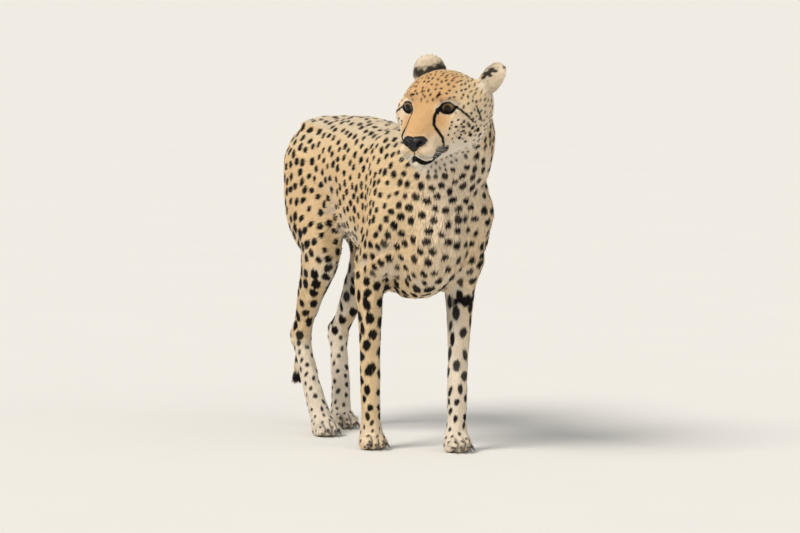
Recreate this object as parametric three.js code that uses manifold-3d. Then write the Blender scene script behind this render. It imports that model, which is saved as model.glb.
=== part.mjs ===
// A standing cheetah, head turned to its right, as a still life-size model.
// Millimetres. The animal faces -Y, its left is +X and +Z is up; its soles stand on z = 0.
// The body is one field of flesh, smoothly joined, that is meshed node by node and parted by thin cuts.
import * as THREE from 'three';
import { LoftGeometry } from 'three/addons/geometries/LoftGeometry.js';
import { mergeVertices } from 'three/addons/utils/BufferGeometryUtils.js';
import Module from 'manifold-3d';

const wasm = await Module();
wasm.setup();
const { Manifold, Mesh: ManifoldMesh } = wasm;

// ---------------------------------------------------------------- driving dimensions

const GAP = 0.3; // left between pieces that touch
const BACK_HEIGHT = 718; // top of the coat over the loin
const BELLY_HEIGHT = 452; // under the flank, where the belly is drawn up
const BRISKET_HEIGHT = 332; // lowest hair of the chest, between the fore legs
const CHEST_HALF_WIDTH = 92;
const RUMP_Y = 262; // hindmost point of the seat
const CHEST_Y = -362; // foremost point of the breast
const NECK_ROOT = [0, -318, 636]; // a point of the cut between neck and chest

const HEAD_AT = new THREE.Vector3(-103, -494, 758); // midway between the eyes
const HEAD_TURN = -53; // degrees about Z, to the animal's right
const HEAD_NOD = 13.5; // degrees, nose down
const EYE_SPREAD = 40; // half the distance between the eyeballs
const EYE_RADIUS = 20;
const NOSE_REACH = 104; // from between the eyes to the tip of the nose
const EAR_HEIGHT = 64;
const EAR_HALF_WIDTH = 37;
const EAR_THICKNESS = 6; // of gristle, skin and coat together
const HIND_FOOT = 0.96; // size of a hind foot against a fore foot
const CLAW_RADIUS = 3.8;

// Mesh size of each kind of node along X, Y and Z: long where the form runs straight
const CELL = {
  skull: [20.5, 20.5, 20.5], face: [14.5, 14.5, 14.5], nose: [9, 9, 9], neck: [31, 31, 34], middle: [32, 56, 33],
  haunch: [27, 34, 38], leg: [18, 18, 47], foot: [16, 18, 28], tail: [17, 17, 46],
};

const COLOUR = {
  coat: 0xd8b27a, pale: 0xe9dcc4, face: 0xd39a58, ear: 0xc9b391,
  leather: 0x1d1a1b, eye: 0x6b4a22, claw: 0x3a332c,
};

// ---------------------------------------------------------------- frames and small helpers

const degrees = THREE.MathUtils.degToRad;
const bodyFrame = new THREE.Matrix4();
const headFrame = new THREE.Matrix4()
  .makeRotationZ(degrees(HEAD_TURN))
  .multiply(new THREE.Matrix4().makeRotationX(degrees(HEAD_NOD)))
  .setPosition(HEAD_AT);

const v = (x, y, z) => new THREE.Vector3(x, y, z);

// Smooth union of two distances, blended over a width k
function blend(a, b, k) {
  const h = Math.max(k - Math.abs(a - b), 0) / k;
  return Math.min(a, b) - h * h * k * 0.25;
}

// Approximate distance to an ellipsoid with half-sizes a, b, c about the origin
function ellipsoidDistance(x, y, z, a, b, c) {
  const k0 = Math.hypot(x / a, y / b, z / c);
  const k1 = Math.hypot(x / (a * a), y / (b * b), z / (c * c));
  return k1 < 1e-9 ? -Math.min(a, b, c) : (k0 * (k0 - 1)) / k1;
}

// ---------------------------------------------------------------- flesh

// A rounded mass: its centre and half-sizes in the frame it lies in
function mass(frame, centre, sizes, k = 20, cut = false) {
  const e = new THREE.Matrix4().copy(frame).invert().elements;
  const [cx, cy, cz] = centre;
  const [a, b, c] = sizes;
  const distance = (x, y, z) => ellipsoidDistance(
    e[0] * x + e[4] * y + e[8] * z + e[12] - cx,
    e[1] * x + e[5] * y + e[9] * z + e[13] - cy,
    e[2] * x + e[6] * y + e[10] * z + e[14] - cz, a, b, c);
  return { distance, k, cut };
}

// A length of body swept through stations [x, y, z, half width, half depth], as a smooth curve.
// The half width lies along the frame's X axis and the half depth square to it and to the curve.
function limb(frame, stations, k = 20) {
  const STEPS = 3;
  const smooth = (points) => new THREE.CatmullRomCurve3(points, false, 'centripetal');
  const curve = smooth(stations.map((s) => v(s[0], s[1], s[2])));
  const SPACING = 40;
  const sizes = smooth(stations.map((s, i) => v(s[3], s[4], i * SPACING)));
  const count = (stations.length - 1) * STEPS;
  const rings = Array.from({ length: count + 1 }, (_, i) => ({
    at: curve.getPoint(i / count).applyMatrix4(frame),
    size: sizes.getPoint(i / count),
  }));
  const sideways = new THREE.Vector3().setFromMatrixColumn(frame, 0);
  const lengths = [];
  for (let i = 0; i < count; i++) {
    const along = rings[i + 1].at.clone().sub(rings[i].at);
    const length = along.length();
    along.divideScalar(length);
    const side = sideways.clone().addScaledVector(along, -sideways.dot(along)).normalize();
    const depth = along.clone().cross(side);
    lengths.push({ from: rings[i].at, along, side, depth, length, a: rings[i].size, b: rings[i + 1].size });
  }
  const distance = (x, y, z) => {
    let nearest = Infinity;
    for (const { from, along, side, depth, length, a, b } of lengths) {
      const px = x - from.x, py = y - from.y, pz = z - from.z;
      const t = px * along.x + py * along.y + pz * along.z;
      const u = Math.min(Math.max(t / length, 0), 1);
      const wide = a.x + (b.x - a.x) * u;
      const deep = a.y + (b.y - a.y) * u;
      const ds = px * side.x + py * side.y + pz * side.z;
      const dd = px * depth.x + py * depth.y + pz * depth.z;
      const d = ellipsoidDistance(ds, dd, t - u * length, wide, deep, Math.min(wide, deep));
      if (d < nearest) nearest = d;
    }
    return nearest;
  };
  return { distance, k, cut: false };
}

// One field out of many pieces of flesh: negative inside
function fieldOf(pieces) {
  return (x, y, z) => {
    let d = 1e6;
    for (const piece of pieces) {
      const near = piece.distance(x, y, z);
      d = piece.cut ? -blend(-d, near, piece.k) : blend(d, near, piece.k);
    }
    return d;
  };
}

function trunkFlesh() {
  const along = [0.97, 0.88, 0.74, 0.58, 0.43, 0.29, 0.18, 0.09, 0.045]; // from breast to seat
  const top = [-30, -6, 0, 4, -2, -14, -22, -48, -96];
  const bottom = [118, 66, 28, 0, -46, -92, -108, -88, -20];
  const width = [62, 84, 86, 87, CHEST_HALF_WIDTH - 2, CHEST_HALF_WIDTH, CHEST_HALF_WIDTH - 2, 86, 62];
  const stations = along.map((s, i) => {
    const upper = BACK_HEIGHT + top[i];
    const lower = Math.max(BELLY_HEIGHT + bottom[i], BRISKET_HEIGHT);
    return [0, CHEST_Y + s * (RUMP_Y - CHEST_Y), (upper + lower) / 2, width[i], (upper - lower) / 2];
  });
  const pieces = [
    limb(bodyFrame, stations, 30),
    mass(bodyFrame, [0, -322, 470], [64, 52, 95], 40), // breast
    mass(bodyFrame, [0, -235, 374], [46, 90, 42], 30), // brisket
  ];
  for (const side of [-1, 1]) {
    pieces.push(
      mass(bodyFrame, [side * 38, 160, 690], [28, 40, 24], 22), // hip
      mass(bodyFrame, [side * 34, -228, 672], [22, 52, 30], 26), // shoulder blade
    );
  }
  return pieces;
}

function neckFlesh() {
  return [
    limb(bodyFrame, [
      [0, -235, 575, 80, 100],
      [14, -312, 600, 98, 96],
      [22, -370, 650, 86, 80],
      [16, -404, 700, 78, 72],
      [-8, -430, 742, 70, 68],
    ], 34),
  ];
}

function headFlesh() {
  const pieces = [
    mass(headFrame, [0, 64, -2], [78, 86, 62], 26), // skull
    limb(headFrame, [ // bridge and muzzle
      [0, 6, -16, 46, 36],
      [0, -38, -30, 33, 33],
      [0, -70, -50, 28, 27],
      [0, -80, -58, 24, 21],
    ], 20),
    mass(headFrame, [0, -72, -94], [22, 25, 20], 12), // chin
    limb(headFrame, [ // lower jaw and throat
      [0, -56, -92, 24, 17],
      [0, 0, -86, 46, 26],
      [0, 62, -70, 60, 44],
    ], 20),
  ];
  for (const side of [-1, 1]) {
    pieces.push(
      mass(headFrame, [side * 19, -79, -71], [20, 22, 18], 9), // whisker pad
      mass(headFrame, [side * 37, -2, 20], [22, 20, 13], 18), // brow
      mass(headFrame, [side * 58, 28, -20], [29, 48, 33], 20), // cheekbone
      mass(headFrame, [side * 50, 68, -52], [38, 56, 50], 24), // cheek and ruff
      mass(headFrame, [side * 66, 96, -18], [32, 44, 44], 24), // ruff under the ear
      mass(headFrame, [side * 34, -20, -50], [26, 38, 30], 16), // upper lip, back to the corner of the mouth
      mass(headFrame, [side * 52, -17, 1], [19, 15, 15], 18, true), // eye socket
    );
  }
  return pieces;
}

const between = (a, b, t) => a.map((value, i) => value + (b[i] - value) * t);

function foreLegFlesh({ withers, shoulder, elbow, wrist, sole }) {
  return [
    limb(bodyFrame, [ // shoulder blade
      [...withers, 26, 48],
      [...between(withers, shoulder, 0.55), 38, 74],
      [...shoulder, 42, 64],
    ], 26),
    limb(bodyFrame, [ // upper arm, forearm and pastern
      [...between(withers, shoulder, 0.8), 40, 66],
      [...between(shoulder, elbow, 0.5), 41, 60],
      [...elbow, 34, 45],
      [...between(elbow, wrist, 0.35), 27, 33],
      [...between(elbow, wrist, 0.75), 22.5, 25],
      [...wrist, 23, 25],
      [...between(wrist, sole, 0.55), 21.5, 22],
      [sole[0], sole[1] + 2, 34, 24, 23],
    ], 24),
    ...pawFlesh(sole, 1),
  ];
}

function hindLegFlesh({ hip, thigh, knee, shank, hock, sole }) {
  return [
    limb(bodyFrame, [ // thigh and shank
      [...hip, 44, 88],
      [...thigh, 46, 90],
      [...knee, 38, 62],
      [...shank, 29, 41],
      [...between(shank, hock, 0.6), 23, 27],
      [...hock, 22, 26],
    ], 30),
    limb(bodyFrame, [ // from the hock down to the toes
      [hock[0], hock[1] + 2, hock[2] + 14, 18, 20],
      [...between(hock, sole, 0.3), 21, 22],
      [...between(hock, sole, 0.62), 22, 23],
      [sole[0], sole[1] + 12, 38, 25, 24],
    ], 16),
    mass(bodyFrame, [hock[0], hock[1] + 16, hock[2] + 14], [13, 17, 20], 12), // heel
    ...pawFlesh(sole, HIND_FOOT),
  ];
}

const TOES = [
  { side: -23, reach: 20 },
  { side: -8.5, reach: 31 },
  { side: 8.5, reach: 31 },
  { side: 23, reach: 20 },
];

const TOE_LENGTH = 20; // ahead of the middle of a toe
const CLAW_REACH = 8; // ahead of the middle of a toe to the bend of its claw

// Pad and four toes on the floor; the sole itself is cut flat afterwards
function pawFlesh([x, y], scale) {
  const pieces = [mass(bodyFrame, [x, y - 2, 20 * scale], [30 * scale, 33 * scale, 25 * scale], 12)];
  for (const { side, reach } of TOES) {
    const centre = [x + side * scale, y - reach * scale, 14 * scale];
    pieces.push(mass(bodyFrame, centre, [10.5 * scale, TOE_LENGTH * scale, 17 * scale], 6));
  }
  return pieces;
}

const FORE = {
  right: {
    withers: [-42, -205, 655], shoulder: [-78, -292, 505], elbow: [-80, -178, 398],
    wrist: [-72, -166, 150], sole: [-64, -156, 0],
  },
  left: {
    withers: [46, -235, 650], shoulder: [88, -336, 515], elbow: [92, -274, 378],
    wrist: [81, -280, 145], sole: [76, -284, 0],
  },
};
const HIND = {
  right: {
    hip: [-50, 174, 610], thigh: [-64, 137, 510], knee: [-70, 66, 425], shank: [-70, 120, 330],
    hock: [-64, 190, 214], sole: [-48, 104, 0],
  },
  left: {
    hip: [50, 174, 610], thigh: [64, 150, 510], knee: [72, 108, 425], shank: [72, 172, 330],
    hock: [66, 258, 212], sole: [55, 212, 0],
  },
};

function tailFlesh() {
  return [limb(bodyFrame, [
    [0, 205, 655, 30, 30],
    [3, 264, 628, 25, 25],
    [12, 303, 566, 20, 20],
    [22, 321, 470, 17.5, 17.5],
    [25, 324, 370, 17, 17],
    [21, 326, 270, 16.5, 16.5],
    [17, 331, 185, 17, 17],
    [10, 341, 120, 17, 17],
    [3, 351, 82, 12, 12],
  ], 18)];
}

const flesh = fieldOf([
  ...trunkFlesh(),
  ...neckFlesh(),
  ...foreLegFlesh(FORE.right),
  ...foreLegFlesh(FORE.left),
  ...hindLegFlesh(HIND.right),
  ...hindLegFlesh(HIND.left),
  ...tailFlesh(),
  ...headFlesh(),
]);

// The bare leather of the nose: wide above, narrow below
const noseLeather = fieldOf([
  mass(headFrame, [0, 16 - NOSE_REACH, -48], [21, 16, 11], 4),
  mass(headFrame, [15, 18 - NOSE_REACH, -49], [12, 14, 10], 6),
  mass(headFrame, [-15, 18 - NOSE_REACH, -49], [12, 14, 10], 6),
  mass(headFrame, [0, 16 - NOSE_REACH, -60], [13, 14, 12], 8),
]);

// ---------------------------------------------------------------- meshing

function solidOf(geometry) {
  const welded = mergeVertices(geometry, 1e-4);
  return new Manifold(new ManifoldMesh({
    numProp: 3,
    vertProperties: new Float32Array(welded.attributes.position.array),
    triVerts: new Uint32Array(welded.index.array),
  }));
}

function geometryOf(solid) {
  const mesh = solid.getMesh();
  const geometry = new THREE.BufferGeometry();
  const positions = new Float32Array(mesh.numVert * 3);
  for (let i = 0; i < mesh.numVert; i++) positions.set(mesh.position(i), i * 3);
  geometry.setAttribute('position', new THREE.BufferAttribute(positions, 3));
  geometry.setIndex(new THREE.BufferAttribute(new Uint32Array(mesh.triVerts), 1));
  geometry.computeVertexNormals();
  return geometry;
}

// Surface nets: one vertex in each cell that the field's surface crosses, drawn onto the surface
function netOf(field, box, cell) {
  const counts = ['x', 'y', 'z'].map((axis, n) => Math.ceil((box.max[axis] - box.min[axis]) / cell[n]) + 1);
  const [nx, ny, nz] = counts;
  const at = (i, j, k) => i + nx * (j + ny * k);
  const place = (i, j, k) => [box.min.x + i * cell[0], box.min.y + j * cell[1], box.min.z + k * cell[2]];
  const values = new Float32Array(nx * ny * nz);
  for (let k = 0; k < nz; k++) for (let j = 0; j < ny; j++) for (let i = 0; i < nx; i++) {
    const rim = i === 0 || j === 0 || k === 0 || i === nx - 1 || j === ny - 1 || k === nz - 1;
    values[at(i, j, k)] = rim ? cell[0] : field(...place(i, j, k));
  }
  const corners = [0, 1, 2, 3, 4, 5, 6, 7].map((c) => [c & 1, (c >> 1) & 1, c >> 2]);
  const positions = [];
  const vertexOf = new Map();
  for (let k = 0; k < nz - 1; k++) for (let j = 0; j < ny - 1; j++) for (let i = 0; i < nx - 1; i++) {
    const point = crossing(corners.map(([a, b, c]) => values[at(i + a, j + b, k + c)]), corners);
    if (!point) continue;
    const [x, y, z] = place(i + point[0], j + point[1], k + point[2]);
    vertexOf.set(at(i, j, k), positions.length / 3);
    positions.push(...drawnOnto(field, x, y, z, cell));
  }
  const indices = [];
  const steps = [[1, 0, 0], [0, 1, 0], [0, 0, 1]];
  for (let k = 0; k < nz - 1; k++) for (let j = 0; j < ny - 1; j++) for (let i = 0; i < nx - 1; i++) {
    steps.forEach((step, axis) => {
      if ([i, j, k].some((index, n) => index === 0 && n !== axis)) return;
      const inside = values[at(i, j, k)] < 0;
      if (inside === values[at(i + step[0], j + step[1], k + step[2])] < 0) return;
      const u = steps[(axis + 1) % 3];
      const w = steps[(axis + 2) % 3];
      const ring = [[0, 0], [1, 0], [1, 1], [0, 1]].map(([a, b]) =>
        vertexOf.get(at(i - a * u[0] - b * w[0], j - a * u[1] - b * w[1], k - a * u[2] - b * w[2])));
      if (!inside) ring.reverse();
      if (span(positions, ring[0], ring[2]) > span(positions, ring[1], ring[3])) ring.push(ring.shift());
      indices.push(ring[0], ring[1], ring[2], ring[0], ring[2], ring[3]);
    });
  }
  const geometry = new THREE.BufferGeometry();
  geometry.setAttribute('position', new THREE.Float32BufferAttribute(positions, 3));
  geometry.setIndex(indices);
  return geometry;
}

// Whether two sheets of a solid meet along one edge, which then runs the same way twice
function pinched(solid) {
  const index = mergeVertices(bare(geometryOf(solid)), 1e-4).index.array;
  const seen = new Set();
  for (let i = 0; i < index.length; i++) {
    const next = i % 3 === 2 ? i - 2 : i + 1;
    const edge = `${index[i]} ${index[next]}`;
    if (seen.has(edge)) return true;
    seen.add(edge);
  }
  return false;
}

function span(positions, a, b) {
  return Math.hypot(...[0, 1, 2].map((n) => positions[3 * a + n] - positions[3 * b + n]));
}

// The mean of the points where a cell's edges cross the surface, in cell units
function crossing(values, corners) {
  const sum = [0, 0, 0];
  let hits = 0;
  for (let a = 0; a < 8; a++) for (let bit = 1; bit < 8; bit <<= 1) {
    const b = a | bit;
    if (a & bit || values[a] < 0 === values[b] < 0) continue;
    const t = values[a] / (values[a] - values[b]);
    for (let n = 0; n < 3; n++) sum[n] += corners[a][n] + t * (corners[b][n] - corners[a][n]);
    hits++;
  }
  return hits ? sum.map((s) => s / hits) : null;
}

// Moves a point along the field's slope onto its surface
function drawnOnto(field, x, y, z, cell) {
  const e = 0.5;
  const limit = Math.min(...cell) * 0.45;
  const start = [x, y, z];
  for (let pass = 0; pass < 3; pass++) {
    const d = field(x, y, z);
    const gx = field(x + e, y, z) - field(x - e, y, z);
    const gy = field(x, y + e, z) - field(x, y - e, z);
    const gz = field(x, y, z + e) - field(x, y, z - e);
    const slope = Math.max(gx * gx + gy * gy + gz * gz, 1e-6);
    const step = (d * 2 * e) / slope;
    x -= step * gx;
    y -= step * gy;
    z -= step * gz;
  }
  const moved = Math.hypot(x - start[0], y - start[1], z - start[2]);
  if (moved <= limit) return [x, y, z];
  return start.map((s, n) => s + ([x, y, z][n] - s) * (limit / moved));
}

// ---------------------------------------------------------------- parting

// A plane through a point of a frame, whose normal points to the side that is kept
function plane(frame, point, normal) {
  const origin = v(0, 0, 0).applyMatrix4(frame);
  const direction = v(...normal).applyMatrix4(frame).sub(origin).normalize();
  return new THREE.Plane().setFromNormalAndCoplanarPoint(direction, v(...point).applyMatrix4(frame));
}

const moved = (cut, distance) => new THREE.Plane(cut.normal, cut.constant - distance);

// Splits a region, which is a list of planes, into the near and the far side of one more plane
function divide(region, cut) {
  const behind = cut.clone().negate();
  return [[...region, moved(cut, GAP / 2)], [...region, moved(behind, GAP / 2)]];
}

const REACH = new THREE.Box3(v(-240, -680, -20), v(160, 400, 880)); // holds the whole animal

function trimmed(solid, region) {
  return region.reduce((rest, { normal, constant }) => rest.trimByPlane(normal.toArray(), -constant), solid);
}

// Everything that lies in a region, a little grown, to cut a neighbour with
function cutter(region) {
  const size = REACH.getSize(v(0, 0, 0));
  const middle = REACH.getCenter(v(0, 0, 0));
  const block = new THREE.BoxGeometry(size.x, size.y, size.z).translate(middle.x, middle.y, middle.z);
  return trimmed(solidOf(bare(block)), region.map((cut) => moved(cut, -GAP)));
}

const largest = (solid) => solid.decompose().sort((a, b) => b.volume() - a.volume())[0];

// Points spread through the flesh and just round it, to find how far each region's flesh reaches
const PROBE = 16;
const probes = [];
for (let x = REACH.min.x; x <= REACH.max.x; x += PROBE) {
  for (let y = REACH.min.y; y <= REACH.max.y; y += PROBE) {
    for (let z = REACH.min.z; z <= REACH.max.z; z += PROBE) {
      if (flesh(x, y, z) < PROBE) probes.push(v(x, y, z));
    }
  }
}

// The flesh in a region and outside the cutters, as one closed solid. A pinched one is drawn again on
// a shifted grid.
function partOf(region, cell, cutters = []) {
  const inside = probes.filter((point) => region.every((cut) => cut.distanceToPoint(point) > -PROBE));
  const box = new THREE.Box3().setFromPoints(inside).expandByVector(v(...cell).multiplyScalar(2));
  for (const shift of [0, 0.3, 0.6, 0.15, 0.45, 0.75]) {
    const grid = box.clone();
    grid.min.addScaledVector(v(...cell), -shift);
    const whole = trimmed(solidOf(netOf(flesh, grid, cell)), region);
    const part = largest(cutters.reduce((rest, cut) => rest.subtract(cut), whole));
    if (!pinched(part)) return part;
  }
  throw new Error('every net of this region is pinched');
}

// A solid with its surface pushed out by a margin
function grown(solid, margin) {
  const geometry = geometryOf(solid);
  const { position, normal } = geometry.attributes;
  for (let i = 0; i < position.count; i++) {
    position.setXYZ(i, ...[0, 1, 2].map((n) => position.array[3 * i + n] + margin * normal.array[3 * i + n]));
  }
  return solidOf(bare(geometry));
}

const floorPlane = plane(bodyFrame, [0, 0, 0], [0, 0, 1]);
const aboveFloor = [floorPlane];

// Head and neck
const headPlane = plane(headFrame, [0, 118, -30], [0, -0.93, 0.36]);
const facePlane = plane(headFrame, [0, -30, 0], [0, -1, 0]);
const mouthPlane = plane(headFrame, [0, -60, -83], [0, 0.04, 1]);
const neckPlane = plane(bodyFrame, NECK_ROOT, [0, -0.78, 0.62]);
const [headRegion, belowHead] = divide(aboveFloor, headPlane);
const [faceRegion, skullRegion] = divide(headRegion, facePlane);
const [muzzleRegion, jawRegion] = divide(faceRegion, mouthPlane);
const [neckRegion, bodyRegion] = divide(belowHead, neckPlane);

// Legs: each lies outside a plane of its own beside the trunk, and is cut square at its joints
function foreLegRegions(side, { elbow, wrist }, behind) {
  const whole = [
    floorPlane,
    plane(bodyFrame, [side * 36, 0, BRISKET_HEIGHT], [side, 0, -0.14]),
    plane(bodyFrame, [0, behind, 0], [0, -1, 0]),
    plane(bodyFrame, [0, 0, 636], [0, 0, -1]),
    moved(neckPlane.clone().negate(), GAP / 2),
    moved(headPlane.clone().negate(), GAP / 2),
  ];
  const [upper, lower] = divide(whole, plane(bodyFrame, [0, elbow[1], elbow[2] - 22], [0, 0, 1]));
  const [forearm, paw] = divide(lower, plane(bodyFrame, wrist, [0, 0, 1]));
  return { whole, upper, forearm, paw };
}

const loinPlane = plane(bodyFrame, [0, 62, 700], [0, 0.952, -0.307]); // slants down to the front of the knee
const BEHIND_HOCKS = 303;
const BEFORE_KNEES = -34;

function hindLegRegions(side, { knee, hock }) {
  const kneePlane = plane(bodyFrame, [0, knee[1], knee[2] - 24], [0, -0.3, 0.95]);
  const thigh = [
    loinPlane,
    plane(bodyFrame, [side * 20, 0, 430], [side, 0, -0.16]),
    moved(kneePlane, GAP / 2),
  ];
  const lower = [
    floorPlane,
    plane(bodyFrame, [0, 0, 0], [side, 0, 0]),
    plane(bodyFrame, [0, BEFORE_KNEES, 0], [0, 1, 0]),
    plane(bodyFrame, [0, BEHIND_HOCKS, 0], [0, -1, 0]),
    moved(kneePlane.clone().negate(), GAP / 2),
  ];
  const [shank, paw] = divide(lower, plane(bodyFrame, hock, [0, 0, 1]));
  return { thigh, lower, shank, paw };
}

const TAIL_ROOT_HALF_WIDTH = 36;
const tailRoot = [
  plane(bodyFrame, [0, 262, 640], [0, 0.92, 0.39]),
  plane(bodyFrame, [TAIL_ROOT_HALF_WIDTH, 0, 0], [-1, 0, 0]),
  plane(bodyFrame, [-TAIL_ROOT_HALF_WIDTH, 0, 0], [1, 0, 0]),
  plane(bodyFrame, [0, 0, 520], [0, 0, 1]),
];
const tailHang = [
  plane(bodyFrame, [0, BEHIND_HOCKS + GAP, 0], [0, 1, 0]),
  plane(bodyFrame, [0, 0, 520 - GAP], [0, 0, -1]),
];
const [tailMiddle, tailTip] = divide(tailHang, plane(bodyFrame, [0, 0, 310], [0, 0, 1]));

const foreRight = foreLegRegions(-1, FORE.right, -112);
const foreLeft = foreLegRegions(1, FORE.left, -200);
const hindRight = hindLegRegions(-1, HIND.right);
const hindLeft = hindLegRegions(1, HIND.left);

// ---------------------------------------------------------------- ears and claws

// Only the shape of a geometry, so that its corners weld
function bare(geometry) {
  const plain = new THREE.BufferGeometry();
  plain.setAttribute('position', geometry.getAttribute('position'));
  plain.setIndex(geometry.index);
  return plain;
}

const CAPPED = { closed: true, capStart: true, capEnd: true };
const loft = (sections) => solidOf(bare(new LoftGeometry(sections, CAPPED)));

// Each ear is turned outward, so that its back shows from ahead; the left one also leans out
const EARS = {
  right: { base: [-54, 122, 12], up: [0.04, 0.2, 0.98], back: [0.6, -0.8, 0.1], spread: 1 },
  left: { base: [80, 110, 10], up: [0.62, 0.18, 0.76], back: [-0.5, -0.8, 0.3], spread: 0.86 },
};
const EAR_OUTLINE = [ // height, width, half the angle that it bends through
  [0, 0.8, 80], [0.3, 1, 72], [0.6, 0.97, 60], [0.82, 0.78, 48], [0.95, 0.46, 36], [1, 0.16, 24],
];
const EAR_POINTS = 6; // across the ear, less one

// A cupped blade: at each height, an arc of gristle as wide as the outline and bent through its cup angle
function earSolid({ base, up, back, spread }, margin = 0) {
  const rise = v(...up).normalize();
  const behind = v(...back);
  behind.addScaledVector(rise, -behind.dot(rise)).normalize();
  const across = rise.clone().cross(behind);
  const sections = EAR_OUTLINE.map(([height, width, cup]) => {
    const half = degrees(cup);
    const radius = (EAR_HALF_WIDTH * spread * width) / Math.sin(half) + margin;
    const inner = Math.max(radius - EAR_THICKNESS - 2 * margin, radius * 0.5);
    const ring = [];
    const point = (r, angle) => v(...base)
      .addScaledVector(rise, height * EAR_HEIGHT + (height > 0.5 ? margin : -margin))
      .addScaledVector(across, r * Math.sin(angle))
      .addScaledVector(behind, r * Math.cos(angle) - radius * Math.cos(half));
    for (let i = 0; i <= EAR_POINTS; i++) ring.push(point(radius, -half + (2 * half * i) / EAR_POINTS));
    for (let i = 0; i <= EAR_POINTS; i++) ring.push(point(inner, half - (2 * half * i) / EAR_POINTS));
    return ring.map((p) => p.applyMatrix4(headFrame));
  });
  return loft(sections);
}

// A curved claw that grows forward out of a toe, thicker by a margin where it cuts its seat
const CLAW_PATH = [[8, 13, 0.9], [-4, 13.5, 1], [-14, 5.5, 0.25]]; // ahead, height, thickness
const CLAW_SIDES = 5;

function clawSolid(front, margin = 0) {
  const sections = CLAW_PATH.map(([ahead, height, thickness]) => {
    const radius = CLAW_RADIUS * thickness + margin;
    return Array.from({ length: CLAW_SIDES }, (_, i) => {
      const angle = (2 * Math.PI * i) / CLAW_SIDES;
      return v(front[0] + radius * Math.cos(angle), front[1] + ahead, height + radius * Math.sin(angle));
    });
  });
  return loft(sections);
}

// ---------------------------------------------------------------- nodes

const group = new THREE.Group();
group.name = 'cheetah';

function add(name, solid, colour, roughness = 0.9) {
  const material = new THREE.MeshStandardMaterial({ color: colour, roughness, metalness: 0 });
  const mesh = new THREE.Mesh(geometryOf(solid), material);
  mesh.name = name;
  group.add(mesh);
}

function ball(frame, centre, radius) {
  return solidOf(bare(new THREE.IcosahedronGeometry(radius, 2).translate(...centre).applyMatrix4(frame)));
}

// Takes the roots of the ears out of a solid
function withEarSeats(solid) {
  return Object.values(EARS).reduce((rest, ear) => rest.subtract(earSolid(ear, GAP)), solid);
}

function addHead() {
  const tip = v(0, -NOSE_REACH, -50).applyMatrix4(headFrame);
  const room = new THREE.Box3().setFromCenterAndSize(tip, v(99, 99, 99));
  const nose = solidOf(netOf(noseLeather, room, CELL.nose));
  let skull = withEarSeats(partOf(skullRegion, CELL.skull));
  for (const [name, side] of [['right', -1], ['left', 1]]) {
    const centre = [side * EYE_SPREAD, 7, 0];
    add(`eye_${name}`, ball(headFrame, centre, EYE_RADIUS), COLOUR.eye, 0.1);
    skull = skull.subtract(ball(headFrame, centre, EYE_RADIUS + GAP));
  }
  add('head', largest(skull), COLOUR.face);
  add('muzzle', largest(partOf(muzzleRegion, CELL.face).subtract(grown(nose, GAP))), COLOUR.face);
  add('lower_jaw', partOf(jawRegion, CELL.face), COLOUR.pale);
  add('nose_pad', nose, COLOUR.leather, 0.35);
  for (const [name, ear] of Object.entries(EARS)) add(`ear_${name}`, earSolid(ear), COLOUR.ear);
}

function addTrunk() {
  const cutters = [foreRight.whole, foreLeft.whole, hindRight.thigh, hindRight.lower, hindLeft.thigh,
    hindLeft.lower, tailRoot, tailHang].map(cutter);
  const [, ahead] = divide(bodyRegion, loinPlane);
  const [chest, loin] = divide(ahead, plane(bodyFrame, [0, -95, 0], [0, -1, 0]));
  const rump = [...bodyRegion, moved(loinPlane, GAP / 2)];
  for (const [name, region] of Object.entries({ chest, loin, rump })) {
    add(name, partOf(region, CELL.middle, cutters), COLOUR.coat);
  }
  add('neck', largest(withEarSeats(partOf(neckRegion, CELL.neck))), COLOUR.coat);
  add('tail_base', partOf(tailRoot, CELL.tail), COLOUR.coat);
  add('tail_middle', partOf(tailMiddle, CELL.tail), COLOUR.coat);
  add('tail_tip', partOf(tailTip, CELL.tail), COLOUR.pale);
}

function addLegs() {
  const fore = { right: foreRight, left: foreLeft };
  const hind = { right: hindRight, left: hindLeft };
  for (const side of ['right', 'left']) {
    add(`upper_arm_${side}`, partOf(fore[side].upper, CELL.haunch), COLOUR.coat);
    add(`forearm_${side}`, partOf(fore[side].forearm, CELL.leg), COLOUR.pale);
    addPaw(`fore_paw_${side}`, fore[side].paw, FORE[side].sole, 1);
    add(`thigh_${side}`, partOf(hind[side].thigh, CELL.haunch), COLOUR.coat);
    add(`shank_${side}`, partOf(hind[side].shank, CELL.leg), COLOUR.coat);
    addPaw(`hind_paw_${side}`, hind[side].paw, HIND[side].sole, HIND_FOOT);
  }
}

// A foot with its four claws, each in a seat of its own
function addPaw(name, region, sole, scale) {
  let paw = partOf(region, CELL.foot);
  TOES.forEach(({ side, reach }, i) => {
    const front = [sole[0] + side * scale, sole[1] - (reach + CLAW_REACH) * scale];
    paw = paw.subtract(clawSolid(front, GAP));
    add(`claw_${name}_${i + 1}`, clawSolid(front), COLOUR.claw, 0.4);
  });
  add(name, largest(paw), COLOUR.pale);
}

addHead();
addTrunk();
addLegs();

// The origin lies on the floor, under the middle of the animal's bounding box
const bounds = new THREE.Box3().setFromObject(group);
group.position.set(-(bounds.min.x + bounds.max.x) / 2, -(bounds.min.y + bounds.max.y) / 2, 0);

export default group;
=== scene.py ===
"""A standing cheetah: one skin over the whole body, a coat of tufts, eyes, nose leather, claws, whiskers."""
import math

import bmesh
import bpy
import numpy as np
from bpy.props import FloatProperty, FloatVectorProperty, IntProperty, PointerProperty
from mathutils import Matrix, Vector


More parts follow.
